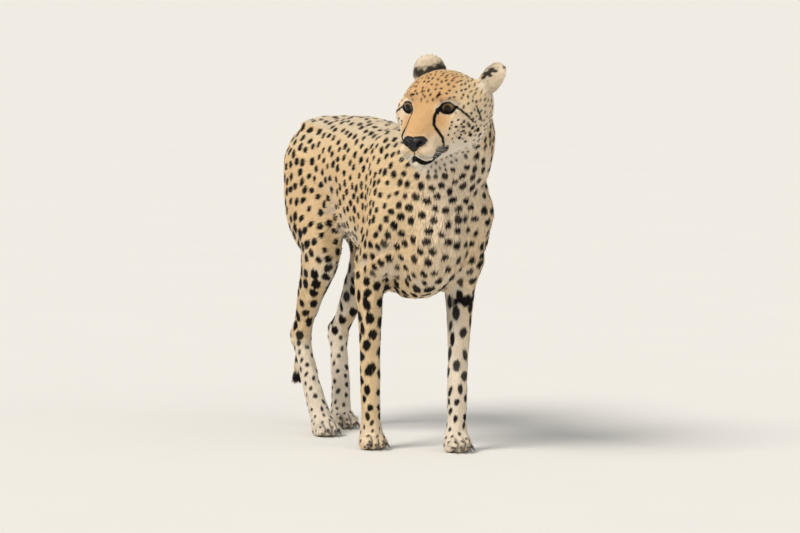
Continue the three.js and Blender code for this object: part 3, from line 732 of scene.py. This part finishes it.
def mixed(tree, factor, a, b, blend="MIX"):
    """Mixes colour a towards b; each is a colour or a socket."""
    item = node(tree, "ShaderNodeMix", {"data_type": "RGBA", "blend_type": blend})
    for socket, value in ((item.inputs[0], factor), (item.inputs[6], a), (item.inputs[7], b)):
        if isinstance(value, bpy.types.NodeSocket):
            tree.links.new(value, socket)
        else:
            socket.default_value = value
    return item.outputs[2]


DUSK = "#897355"  # dust and shadow between the hairs


def fur_material(name, colours, tufts):
    """Cat's fur: fine matt guard hairs, gold, white or black by the coat's own shares, darker at the root by
    painted shade.
    """
    material, tree = new_material(name)
    coat = attribute(tree, "coat", "Color")
    shares = node(tree, "ShaderNodeSeparateColor", links={"Color": coat}).outputs
    colour = mixed(tree, shares[1], colours["gold"], colours["pale"])
    colour = mixed(tree, shares[2], colour, colours["rich"])
    colour = mixed(tree, attribute(tree, "coat", "Alpha"), colour, colours["grey"])
    patches = noise(tree, 45, Detail=2.0)
    colour = mixed(tree, patches, mixed(tree, 0.22, colour, linear(DUSK)), colour)
    colour = mixed(tree, shares[0], colour, colours["dark"])
    hairs = noise(tree, 2, Detail=2.0, Roughness=0.6)  # from hair to hair
    # Tufts differ in tone at random and carry painted shade that darkens them at the root; the skin under
    # them is mottled by its hairs
    if tufts:
        tone_and_shade, span, roughness = attribute(tree, "tone_and_shade"), (0.0, 1.0, 0.72, 1.12), 0.62
    else:
        tone_and_shade, span, roughness = hairs, (0.3, 0.7, 0.62, 0.95), 0.8
    settings = dict(zip(("From Min", "From Max", "To Min", "To Max"), span))
    shade = node(tree, "ShaderNodeMapRange", settings, {"Value": tone_and_shade}).outputs[0]
    colour = mixed(tree, 1.0, colour, shade, "MULTIPLY")
    return surfaced(material, colour, roughness, bumped(tree, hairs, 0.35, 0.6),
                    Specular_IOR_Level=0.12, Sheen_Weight=0.03, Sheen_Roughness=0.5)


def leather_material(colour):
    """Nose leather: damp, pebbled black skin, with pebbles about 1.3 mm apart and blotches of 9 mm."""
    material, tree = new_material("nose_leather_damp")
    place = node(tree, "ShaderNodeTexCoord").outputs["Object"]
    pebbles = node(tree, "ShaderNodeTexVoronoi", {"Scale": 1 / (1.3 * MM)}, {"Vector": place})
    bump = bumped(tree, pebbles.outputs["Distance"], 0.5, 0.4, invert=True)
    tint = mixed(tree, noise(tree, 9), colour, linear("#1b1817"))
    return surfaced(material, tint, 0.42, bump, Specular_IOR_Level=0.3)


def eye_material(iris_colour):
    """A wet eye: clear gloss over an amber iris with fine spokes, a round pupil and a dark outer ring."""
    material, tree = new_material("eye_wet_amber")
    ramp = node(tree, "ShaderNodeValToRGB", links={"Fac": attribute(tree, "gaze")})
    stops = ((0.0, "#050404"), (0.185, "#070505"), (0.215, "#46341f"), (0.29, "#8a734b"), (0.42, "#6f5836"),
             (0.50, "#3a2916"), (0.56, "#120c09"), (1.0, "#0d0908"))
    while len(ramp.color_ramp.elements) < len(stops):
        ramp.color_ramp.elements.new(0.5)
    for element, (position, value) in zip(ramp.color_ramp.elements, stops):
        element.position = position
        element.color = linear(value)
    rings = ramp.outputs["Color"]
    fibres = node(tree, "ShaderNodeTexNoise", {"Scale": 26.0, "Detail": 3.0},
                  {"Vector": attribute(tree, "spoke", "Vector")}).outputs["Fac"]
    veined = mixed(tree, fibres, mixed(tree, 0.45, rings, linear("#19120d")), rings)
    tinted = mixed(tree, 0.25, veined, mixed(tree, 1.0, veined, iris_colour, "MULTIPLY"))
    # painted shade of the upper lid over the top of the eyeball
    shaded = mixed(tree, attribute(tree, "lid_shade"), tinted, linear("#0d0a07"))
    return surfaced(material, shaded, 0.2, Coat_Weight=0.3, Coat_Roughness=0.02, Specular_IOR_Level=0.12)


def horn_material(colour):
    """Claw horn: dull dark keratin with faint growth marks about 3 mm apart, paler where it is worn."""
    material, tree = new_material("claw_horn")
    growth = noise(tree, 3, Detail=3.0)
    tint = mixed(tree, growth, colour, linear("#6b5d4e"))
    return surfaced(material, tint, 0.42, bumped(tree, growth, 0.3, 0.2))


def whisker_material():
    """Whiskers: stiff white hairs, slightly glossy, in tones that change over about 8 mm."""
    material, tree = new_material("whisker_hair")
    return surfaced(material, mixed(tree, noise(tree, 8), linear("#d9cfbf"), linear("#f6f1e6")), 0.35)


def floor_material(colour):
    """Studio floor: matt painted board with a very faint mottle, 400 mm across."""
    material, tree = new_material("floor_matt_paint")
    tint = mixed(tree, noise(tree, 400), colour, linear("#dbd8d2"))
    return surfaced(material, tint, 0.9, Specular_IOR_Level=0.1)


# ---------------- properties


def colour_property(name, description, value):
    return FloatVectorProperty(name=name, description=description, subtype="COLOR", size=4, min=0, max=1,
                               default=linear(value))


class CheetahCoat(bpy.types.PropertyGroup):
    gold: colour_property("Gold", "Fur of the back, flanks and outer legs", "#ecd0a4")
    pale: colour_property("Pale", "Fur of the belly, inner legs, chin and lips", "#f2e7d6")
    rich: colour_property("Rich", "Orange fur of the forehead and nose bridge", "#d3a066")
    grey: colour_property("Grey", "Greyed fur along the back and behind the ears", "#d9cab0")
    dark: colour_property("Dark", "Fur of the spots, tear lines and lips", "#0d0807")
    length: FloatProperty(name="Length", description="Length of the hair, as a multiple of the usual coat",
                          default=1.0, min=0.5, max=1.5)
    cover: FloatProperty(name="Cover", description="How many tufts lie over each other, on average",
                         default=2.7, min=0.5, max=3.0)
    seed: IntProperty(name="Seed", description="Choice of where the spots fall", default=7, min=0)


class CheetahParts(bpy.types.PropertyGroup):
    iris: colour_property("Iris", "Tint of the iris", "#c08a45")
    nose: colour_property("Nose", "Leather of the nose", "#0b0a0a")
    claw: colour_property("Claw", "Horn of the claws", "#2b2520")
    voxel: FloatProperty(name="Skin detail", description="Grid that the skin is drawn on", subtype="DISTANCE",
                         unit="LENGTH", default=0.0022, min=0.001, max=0.01)
    whisker: FloatProperty(name="Whisker", description="Length of the longest whiskers", subtype="DISTANCE",
                           unit="LENGTH", default=0.062, min=0.01, max=0.12)


class CheetahStage(bpy.types.PropertyGroup):
    floor: colour_property("Floor", "Paint of the studio floor", "#dedbd5")
    key: FloatProperty(name="Key light", description="Strength of the main light", default=2.9, min=0)
    fill: FloatProperty(name="Fill light", description="Strength of the light from all round",
                        default=0.45, min=0)
    lens: FloatProperty(name="Lens", description="Focal length of the camera", subtype="DISTANCE_CAMERA",
                        default=178.2, min=10)


# ---------------- skin


def coat_depth(body, normal):
    """How far the skin lies under the tips of the hair, mm."""
    return 0.9 + 0.17 * hair_length(body, normal) * (1 - ear_share(body)[0])


def sculpt_lids(body):
    """Wraps the lids round the eyeballs and opens them."""
    h = in_head(body)
    distance, q, _, _ = eye_opening(h)
    reach = np.linalg.norm(q, axis=1)
    near = (distance < 14) & (reach < 48) & (q @ GAZE > 0)
    lid = EYE_RADIUS + LID_THICKNESS + 0.9 * step(0.0, 4.0, distance)
    wrapped = np.maximum(mix(reach, lid, step(11, 1, distance)), EYE_RADIUS + LID_THICKNESS - 0.2)
    radius = np.where(distance < 0, EYE_RADIUS - 3.5, wrapped)  # the opening sinks into the ball
    new = unit(q) * radius[:, None] + EYE_CENTRE
    new[:, 0] *= np.where(h[:, 0] < 0, -1.0, 1.0)
    return np.where(near[:, None], new @ TO_HEAD.T + HEAD_AT, body)


def sculpt_face(body, normal):
    """Cuts the line of the mouth and the philtrum, fills the whisker pads and shapes the brows."""
    m = mirrored(in_head(body))
    d, t = near_path(m, LIP_LINE)
    groove = 3.0 * hump(d, 2.0) * (1 - 0.5 * t)
    pads = 1.6 * hump(away(m, (24, -82, -74)), 13)
    philtrum = 1.8 * hump(m[:, 0], 1.8) * step(-84, -92, m[:, 1]) * step(-62, -66, m[:, 2])
    philtrum *= step(-90, -84, m[:, 2])
    brow = 2.2 * hump(away(m, (36, -12, 20), vec(16, 10, 6)), 1)
    temple = 2.0 * hump(away(m, (66, 34, 14), vec(14, 22, 12)), 1)
    shift = (pads + brow - groove - philtrum - temple) * head_share(body)
    return body + normal * shift[:, None]


# Folds between the limbs and the trunk: path in the body frame, depth and width, mm
CREASES = (
    ([(0, -404, 547), (-3, -401, 496), (-10, -393, 440), (7, -366, 391)], 7.0, 13),
    ([(-91, -315, 454), (-110, -266, 434), (-114, -213, 414), (-112, -176, 396)], 7.0, 10),
    ([(-75, -259, 393), (-60, -219, 361)], 6.0, 9),
    ([(-85, -30, 570), (-82, -5, 525), (-76, 7, 485), (-66, 12, 444)], 8.0, 15),
    ([(92, 20, 570), (90, 45, 525), (84, 60, 485), (72, 70, 444)], 8.0, 15),
    ([(104, -400, 470), (118, -350, 440), (118, -300, 424)], 7.0, 11),
    ([(-96, -330, 600), (-112, -300, 560), (-108, -320, 500)], 4.0, 14),
)


def sculpt_trunk(body, normal):
    """Presses in the folds where the legs leave the trunk."""
    shift = np.zeros(len(body))
    for path, depth, width in CREASES:
        d, t = near_path(body, path, normal)
        faded = np.sin(math.pi * np.clip(0.15 + 0.7 * t, 0, 1))  # towards both ends
        shift = np.maximum(shift, depth * hump(d, width) * faded)
    return body - normal * shift[:, None]


TOE = vec(9.6, 21, 14)  # half sizes, mm


def add_toe(bm, claw):
    """Adds a rounded toe that the claw grows out of."""
    low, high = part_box(claw)
    centre = Vector(((low.x + high.x) / 2, high.y + 13 * MM, 14.5 * MM))
    shape = Matrix.Translation(centre) @ Matrix.Diagonal((*TOE * MM, 1))
    bmesh.ops.create_icosphere(bm, subdivisions=3, radius=1.0, matrix=shape)


def build_skin(settings):
    """One closed surface over all the solids, evened out, with most of its detail on the face."""
    bm = bmesh.new()
    for name in FLESH + [NOSE] + list(EYES):
        merged_copy(bm, name, 0.5 * MM)
    for name in CLAWS:
        add_toe(bm, name)
    skin = new_object("skin", bm)
    regridded(skin, settings.voxel)
    mesh = skin.data
    # Even out the facets: much on the body, less on the head, hardly at all on the thin ears and the feet
    points = vertex_values(mesh, "co")
    body = in_body(points)
    share = mix(1.0, 0.85, head_share(body))
    share = mix(share, 0.3, np.maximum(ear_share(body)[0], step(44, 32, body[:, 2])))
    put_points(mesh, smoothed(points, mesh_edges(mesh), share, 110))
    # Thin out the body's mesh and keep the face's
    weights = skin.vertex_groups.new(name="thin")
    keep = np.maximum(head_share(body) * step(80, 40, in_head(body)[:, 1]), 0.85 * ear_share(body)[0])
    levels = np.round((1 - 0.93 * keep) * 16) / 16
    for level in np.unique(levels):
        weights.add(np.flatnonzero(levels == level).tolist(), float(level), "REPLACE")
    thin = skin.modifiers.new("thin", "DECIMATE")
    thin.ratio = 0.26
    thin.vertex_group = "thin"
    thin.vertex_group_factor = 1.0
    settled(skin)
    skin.vertex_groups.clear()
    refine_face(skin.data)
    return skin


def refine_face(mesh):
    """Doubles the mesh round the eyes, nose and mouth, and makes all its faces triangles."""
    bm = bmesh.new()
    bm.from_mesh(mesh)
    bm.verts.ensure_lookup_table()
    points = np.array([vert.co for vert in bm.verts], float)
    h = mirrored(in_head(in_body(points)))
    eye = away(h, EYE_CENTRE) < 37
    mouth = near_path(h, LIP_LINE)[0] < 9
    tear = near_path(h, TEAR_LINE)[0] < 8
    chosen = (eye | mouth | tear) & (h[:, 1] < 22)
    near = [bm.verts[i] for i in np.flatnonzero(chosen)]
    edges = list({edge for vert in near for edge in vert.link_edges})
    bmesh.ops.subdivide_edges(bm, edges=edges, cuts=1, smooth=0.4)
    bmesh.ops.triangulate(bm, faces=bm.faces)
    bm.to_mesh(mesh)
    bm.free()


def shaped_skin(skin):
    """Draws the skin in under the coat and gives the face and feet their finer forms."""
    data = read_skin(skin.data)
    normals = data["normals"]
    solid = in_body(data["points"])
    body = solid - normals * coat_depth(solid, normals)[:, None]
    body = sculpt_face(body, normals)
    body = sculpt_trunk(body, normals)
    body -= normals * (5.0 * toe_clefts(body))[:, None]
    body = sculpt_lids(body)
    body -= normals * 10.0 * on_nose(in_head(solid), 2.0)[:, None]  # well in under the nose leather
    body[:, 2] = np.maximum(body[:, 2], 0.0)
    put_points(skin.data, (body + BODY_ORIGIN) * MM)


def paint(mesh, colour):
    """Keeps the shares of the coat's colours on the points."""
    mesh.attributes.new("coat", "FLOAT_COLOR", "POINT").data.foreach_set("color", colour.ravel())


class CHEETAH_OT_skin(bpy.types.Operator):
    """Draws one skin over all the flesh, with lids, lips and toes"""
    bl_idname = "cheetah.skin"
    bl_label = "Skin"

    def execute(self, context):
        skin = build_skin(context.scene.cheetah_parts)
        shaped_skin(skin)
        data = read_skin(skin.data)
        seeds = spot_seeds(data, context.scene.cheetah_coat.seed)
        paint(skin.data, coat_colour(in_body(data["points"]), data["normals"], seeds))
        finish_piece(skin, fur_material("skin_under_fur", coat_colours(context), False), FLESH)
        return {"FINISHED"}


def coat_colours(context):
    coat = context.scene.cheetah_coat
    return {key: tuple(getattr(coat, key)) for key in ("gold", "pale", "rich", "grey", "dark")}


# ---------------- coat

COAT_PIECES = ("face", "crown", "neck", "chest", "side_right", "side_left", "haunch_right", "haunch_left",
               "fore_leg_right", "fore_leg_left", "hind_leg_right", "hind_leg_left", "tail")


def piece_of(body):
    """Which coat piece each point belongs to, as an index in COAT_PIECES."""
    x, y, z = body.T
    h = in_head(body)
    fore, hind = leg_share(body)
    side = np.where(x < 0, 0, 1)
    index = np.where(y > 40, 6 + side, 4 + side)
    index = np.where(y < -270, 3, index)
    index = np.where((y < -300) & (z > 590), 2, index)
    index = np.where(fore > 0.5, 8 + side, index)
    index = np.where(hind > 0.5, 10 + side, index)
    index = np.where(tail_share(body) > 0.5, 12, index)
    index = np.where(head_share(body) > 0.5, np.where(h[:, 1] < 48, 0, 1), index)
    return index


def tuft_width(length):
    """Width of a tuft, mm, by its length."""
    return 0.45 + 0.085 * length


def unwrapped(skin, chosen):
    """Corner UVs of the chosen triangles, unwrapped by the shape of the skin itself."""
    index = np.flatnonzero(chosen)
    used, corners = np.unique(skin["tris"][index], return_inverse=True)
    mesh = raw_mesh("unwrap", skin["points"][used], corners.ravel(), np.arange(0, len(index) * 3, 3))
    mesh.uv_layers.new(name="unwrap")
    item = new_object("unwrap", mesh)
    bpy.context.view_layer.objects.active = item
    bpy.ops.object.select_all(action="DESELECT")
    item.select_set(True)
    bpy.ops.object.mode_set(mode="EDIT")
    bpy.ops.mesh.select_all(action="SELECT")
    bpy.ops.uv.smart_project(angle_limit=math.radians(72), island_margin=0.004)
    bpy.ops.object.mode_set(mode="OBJECT")
    uv = np.empty(len(mesh.loops) * 2, np.float32)
    mesh.uv_layers[0].data.foreach_get("uv", uv)
    bpy.data.objects.remove(item)
    bpy.data.meshes.remove(mesh)
    table = np.zeros((len(skin["tris"]), 3, 2), np.float32)
    table[index] = uv.reshape(-1, 3, 2)
    return table


# A tuft's five points, as shares of its length, width and lift: two at the root, two midway, a tip
TUFT_ALONG = vec(-0.05, -0.05, 0.5, 0.5, 1)
TUFT_ACROSS = vec(-0.5, 0.5, 0.42, -0.42, 0)
TUFT_RISE = vec(-0.06, -0.06, 0.62, 0.62, 1)
TUFT_ROOT_SHADE = vec(0, 0, 0.28, 0.28, 0.4)  # painted shade: darkest at the root, paler towards the tip
TUFT_MAP = vec(0, 0, 0.5, 0.5, 1)  # height on the OFBake map
TUFT_CORNERS = np.array([0, 1, 2, 3, 3, 2, 4])  # of its two faces
TUFT_STARTS = np.array([0, 4])  # where each of them starts
TUFT_FILL = 0.72  # how much of its length times its width a tuft covers
TUFT_PATCH = 0.003  # size of a tuft's patch on the OFBake map


def build_tufts(name, skin, chosen, settings, seeds, seed):
    """Tufts over the chosen triangles of the skin, thick enough for the asked cover."""
    rng = np.random.default_rng(seed)
    cover = settings.cover * 1.0

    def density(body, normal):
        length = hair_length(body, normal) * settings.length
        return cover / (length * tuft_width(length) * TUFT_FILL)

    points, normals, tri, weights = scattered(skin, chosen, density, rng)
    body = in_body(points)
    h = in_head(body)
    keep = (away(mirrored(h), EYE_CENTRE) > EYE_RADIUS + 0.6) & ~on_nose(h, 0.5) & (body[:, 2] > 2.5)
    normals, tri, weights, body = (a[keep] for a in (normals, tri, weights, body))
    count = len(body)
    lie = lie_of_coat(body, normals)
    lie, side = turned(lie, np.cross(normals, lie), rng.normal(0, 0.13, count))
    length = hair_length(body, normals) * settings.length * rng.uniform(0.75, 1.2, count)
    length *= mix(1.0, 0.45, step(7, 1, eye_opening(in_head(body))[0]))  # short on the lids
    width = tuft_width(length) * rng.uniform(0.8, 1.25, count)
    lift = length * rng.uniform(0.13, 0.26, count)
    slip = rng.normal(0, 0.12, count)  # breaks up the edges of the spots
    place = body[:, None] + sum(
        way[:, None] * (shares * size[:, None])[..., None]
        for way, shares, size in (
            (lie, TUFT_ALONG, length), (side, TUFT_ACROSS, width), (normals, TUFT_RISE, lift)))
    place[..., 2] = np.maximum(place[..., 2], 0.2)
    first = np.arange(count)[:, None]
    corners = (first * 5 + TUFT_CORNERS).ravel()
    starts = (first * 7 + TUFT_STARTS).ravel()
    mesh = raw_mesh(name, (place.reshape(-1, 3) + BODY_ORIGIN) * MM, corners, starts)
    # Each tuft's tone differs at random, plus painted shade that darkens its root
    tone_and_shade = np.clip(rng.normal(0.5, 0.2, count), 0, 1)[:, None] * 0.6 + TUFT_ROOT_SHADE
    mesh.attributes.new("tone_and_shade", "FLOAT", "POINT").data.foreach_set("value", tone_and_shade.astype(np.float32).ravel())
    root, belly, tip = (coat_colour(body + lie * ((share + slip) * length)[:, None], normals, seeds)
                        for share in (0.05, 0.5, 0.9))
    paint(mesh, np.stack([root, root, belly, belly, tip], 1))
    # Each tuft bakes on a small patch at its root's place on the skin's unwrap
    middles = np.einsum("ij,ijk->ik", weights, unwrapped(skin, chosen)[tri])
    patch = np.clip(middles[:, None] + np.stack([TUFT_ACROSS, TUFT_MAP], 1) * TUFT_PATCH, 0, 1)
    layer = mesh.uv_layers.new(name="OFBake")
    layer.data.foreach_set("uv", patch.reshape(-1, 2)[corners].astype(np.float32).ravel())
    return new_object(name, mesh)


def on_nose(h, inset):
    """Whether a point of the head lies on the bare nose leather, at least inset mm from its edge."""
    m = mirrored(h)
    half = np.interp(m[:, 2], [-72, -66, -56, -46, -40, -36], [0, 9, 17, 26, 25, 14]) - inset
    return (m[:, 1] < -84) & (m[:, 0] < half) & (m[:, 2] > -71 + inset) & (m[:, 2] < -37 - inset)


class CHEETAH_OT_coat(bpy.types.Operator):
    """Covers the skin with short tufts of fur that lie along the body"""
    bl_idname = "cheetah.coat"
    bl_label = "Coat"

    def execute(self, context):
        settings = context.scene.cheetah_coat
        data = read_skin(bpy.data.objects["skin"].data)
        seeds = spot_seeds(data, settings.seed)
        material = fur_material("fur_short_guard_hairs", coat_colours(context), True)
        index = piece_of(in_body(data["points"][data["tris"]].mean(1)))
        for number, name in enumerate(COAT_PIECES):
            tufts = build_tufts("fur_" + name, data, index == number, settings, seeds, 100 + number)
            finish_piece(tufts, material, ())
        return {"FINISHED"}


# ---------------- eyes, nose, claws, whiskers


CORNEA = 0.7  # how far the clear front bulges, mm


class CHEETAH_OT_eyes(bpy.types.Operator):
    """Makes the two eyeballs, with a bulging clear front over iris and pupil"""
    bl_idname = "cheetah.eyes"
    bl_label = "Eyes"

    def execute(self, context):
        material = eye_material(tuple(context.scene.cheetah_parts.iris))
        for name, side in zip(EYES, (-1, 1)):
            flip = vec(side, 1, 1)
            # The pupils look a little further ahead than the openings do
            gaze = Vector(unit((GAZE + vec(-0.12, -0.1, -0.03)) * flip) @ TO_HEAD.T)
            upward = Vector(EYE_UP * flip @ TO_HEAD.T)
            turn = gaze.to_track_quat("Z", "Y").to_matrix().to_4x4()
            bm = bmesh.new()
            bmesh.ops.create_uvsphere(bm, u_segments=72, v_segments=56, radius=EYE_RADIUS * MM)
            gaze_layer = bm.verts.layers.float.new("gaze")
            spoke_layer = bm.verts.layers.float_vector.new("spoke")
            shade_layer = bm.verts.layers.float.new("lid_shade")
            for vert in bm.verts:
                angle = vert.co.angle(Vector((0, 0, 1)))
                vert[gaze_layer] = min(angle / (math.pi / 2), 1.0)
                around = math.atan2(vert.co.y, vert.co.x)
                vert[spoke_layer] = Vector((math.cos(around), math.sin(around), angle * 0.12))
                # lid_shade is painted shade of the upper lid, over the upper part of the eyeball
                height = (turn.to_3x3() @ vert.co).dot(upward) / MM
                vert[shade_layer] = 0.9 * float(step(-1.0, 5.5, height))
                vert.co += vert.co.normalized() * (CORNEA * MM * hump(angle, 0.5))
            matrix = Matrix.Translation(middle(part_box(name))) @ turn
            bmesh.ops.transform(bm, matrix=matrix, verts=bm.verts)
            finish_piece(new_object(name + "_ball", bm), material, (name,))
        return {"FINISHED"}


NOSTRIL = [(17.5, -49), (13.0, -51.5), (11.0, -55.5)]  # seen from in front: to the left, up, mm


class CHEETAH_OT_nose(bpy.types.Operator):
    """Shapes the nose leather, with two curled nostrils and a groove down its middle"""
    bl_idname = "cheetah.nose"
    bl_label = "Nose leather"

    def execute(self, context):
        bm = bmesh.new()
        merged_copy(bm, NOSE)
        nose = new_object("nose_leather", bm)
        regridded(nose, 0.8 * MM)
        points = vertex_values(nose.data, "co")
        points = smoothed(points, mesh_edges(nose.data), np.ones(len(points)), 60)
        put_points(nose.data, points)
        m = mirrored(in_head(in_body(points)))
        d, _ = near_path(m[:, [0, 2]], NOSTRIL)
        hole = 5.5 * np.exp(-(d / 2.6) ** 4)
        wing = 0.9 * hump(d - 5.5, 2.2)
        groove = 1.2 * hump(m[:, 0], 1.3)
        swell = 0.4 + (wing - hole - groove) * step(-86, -94, m[:, 1])
        put_points(nose.data, points + vertex_values(nose.data, "normal") * (swell * MM)[:, None])
        finish_piece(nose, leather_material(tuple(context.scene.cheetah_parts.nose)), (NOSE,))
        return {"FINISHED"}


class CHEETAH_OT_claws(bpy.types.Operator):
    """Rounds off the sixteen claws and gives them their horn"""
    bl_idname = "cheetah.claws"
    bl_label = "Claws"

    def execute(self, context):
        bm = bmesh.new()
        for name in CLAWS:
            merged_copy(bm, name, 0.3 * MM)
        claws = new_object("claws", bm)
        smooth = claws.modifiers.new("smooth", "SUBSURF")
        smooth.levels = smooth.render_levels = 2
        finish_piece(claws, horn_material(tuple(context.scene.cheetah_parts.claw)), CLAWS)
        return {"FINISHED"}


class CHEETAH_OT_whiskers(bpy.types.Operator):
    """Sets rows of short white whiskers in the lips"""
    bl_idname = "cheetah.whiskers"
    bl_label = "Whiskers"

    def execute(self, context):
        rng = np.random.default_rng(5)
        longest = context.scene.cheetah_parts.whisker / MM
        bm = bmesh.new()
        for side in (-1, 1):
            for row in range(4):
                for place in range(5):
                    root = vec(side * (24 + 2.2 * place), -88 + 7.5 * place, -66 - 4.6 * row)
                    length = longest * (0.45 + 0.55 * place / 4) * rng.uniform(0.8, 1.05)
                    out = vec(side * 0.75, 0.25 + 0.12 * place, 0.12 - 0.2 * row) + rng.normal(0, 0.06, 3)
                    whisker(bm, root, unit(out), length)
        finish_piece(new_object("whiskers", bm), whisker_material(), ())
        return {"FINISHED"}


DROOP = vec(0, 0.28, -0.2)  # of a whisker's tip, as a share of its length: backward and down


def whisker(bm, root, out, length):
    """Adds one tapering hair, as a thin three-sided cone bent along its length."""
    hair = bmesh.new()
    bmesh.ops.create_cone(hair, segments=3, radius1=0.28, radius2=0.04, depth=1.0, cap_ends=True)
    edges = [edge for edge in hair.edges if abs(edge.verts[0].co.z - edge.verts[1].co.z) > 0.5]
    bmesh.ops.subdivide_edges(hair, edges=edges, cuts=5)
    across = unit(np.cross(out, [0, 0, 1]))
    up = np.cross(across, out)
    for vert in hair.verts:
        t = vert.co.z + 0.5
        place = root + (out * t + DROOP * t * t) * length + across * vert.co.x + up * vert.co.y
        vert.co = Vector((place @ TO_HEAD.T + HEAD_AT + BODY_ORIGIN) * MM)
    add_mesh(bm, hair)


# ---------------- stage

CAMERA_AT = vec(-4033.1, -7753.2, 1090)  # mm in the body frame: ahead of the animal and to its right
CAMERA_AZIMUTH = math.radians(28)
CAMERA_DOWN = math.radians(4.61)
# Lights: name, turn and tilt in degrees, share of the key's strength, softness in degrees
LIGHTS = (("key", -76, 42, 1.0, 26), ("front", 10, 58, 0.28, 60))
FLOOR_HALF = 150  # metres, so that its far edge is hardly seen


class CHEETAH_OT_stage(bpy.types.Operator):
    """Sets the pale floor, the soft lights and the camera"""
    bl_idname = "cheetah.stage"
    bl_label = "Stage"

    def execute(self, context):
        settings = context.scene.cheetah_stage
        bm = bmesh.new()
        bmesh.ops.create_grid(bm, x_segments=8, y_segments=8, size=FLOOR_HALF)
        floor = new_object("floor", bm)
        floor.data.materials.append(floor_material(tuple(settings.floor)))
        world = bpy.data.worlds.new("soft_room")
        world.use_nodes = True
        background = world.node_tree.nodes["Background"]
        background.inputs["Color"].default_value = (0.93, 0.96, 1.0, 1.0)
        background.inputs["Strength"].default_value = settings.fill
        context.scene.world = world
        for name, turn, tilt, strength, spread in LIGHTS:
            light = bpy.data.lights.new(name, "SUN")
            light.energy = settings.key * strength
            light.angle = math.radians(spread)
            light.color = (1.0, 0.96, 0.9)
            new_object(name, light).rotation_euler = (math.radians(tilt), 0, math.radians(turn))
        camera = bpy.data.cameras.new("camera")
        camera.lens = settings.lens
        camera.sensor_width = 36
        camera.clip_end = 400
        eye = new_object("camera", camera)
        eye.location = Vector((CAMERA_AT + BODY_ORIGIN) * MM)
        eye.rotation_euler = (math.pi / 2 - CAMERA_DOWN, 0, -CAMERA_AZIMUTH)
        context.scene.camera = eye
        context.scene.view_settings.view_transform = "Standard"
        return {"FINISHED"}


class CHEETAH_PT_panel(bpy.types.Panel):
    """Lists the pieces of the cheetah"""
    bl_idname = "CHEETAH_PT_panel"
    bl_label = "Cheetah"
    bl_space_type = "VIEW_3D"
    bl_region_type = "UI"
    bl_category = "Cheetah"

    def draw(self, context):
        for name, group in GROUPS.items():
            for key in group.__annotations__:
                self.layout.prop(getattr(context.scene, name), key)
        for operator in OPERATORS:
            self.layout.operator(operator.bl_idname)


GROUPS = {"cheetah_coat": CheetahCoat, "cheetah_parts": CheetahParts, "cheetah_stage": CheetahStage}
OPERATORS = (CHEETAH_OT_skin, CHEETAH_OT_coat, CHEETAH_OT_eyes, CHEETAH_OT_nose, CHEETAH_OT_claws,
             CHEETAH_OT_whiskers, CHEETAH_OT_stage)


def register():
    for item in (*GROUPS.values(), *OPERATORS, CHEETAH_PT_panel):
        bpy.utils.register_class(item)
    for name, group in GROUPS.items():
        setattr(bpy.types.Scene, name, PointerProperty(type=group))


def unregister():
    for name in GROUPS:
        delattr(bpy.types.Scene, name)
    for item in reversed((*GROUPS.values(), *OPERATORS, CHEETAH_PT_panel)):
        bpy.utils.unregister_class(item)


def main():
    register()
    bpy.ops.cheetah.skin()
    bpy.ops.cheetah.coat()
    bpy.ops.cheetah.eyes()
    bpy.ops.cheetah.nose()
    bpy.ops.cheetah.claws()
    bpy.ops.cheetah.whiskers()
    bpy.ops.cheetah.stage()


if __name__ == "__main__":
    main()
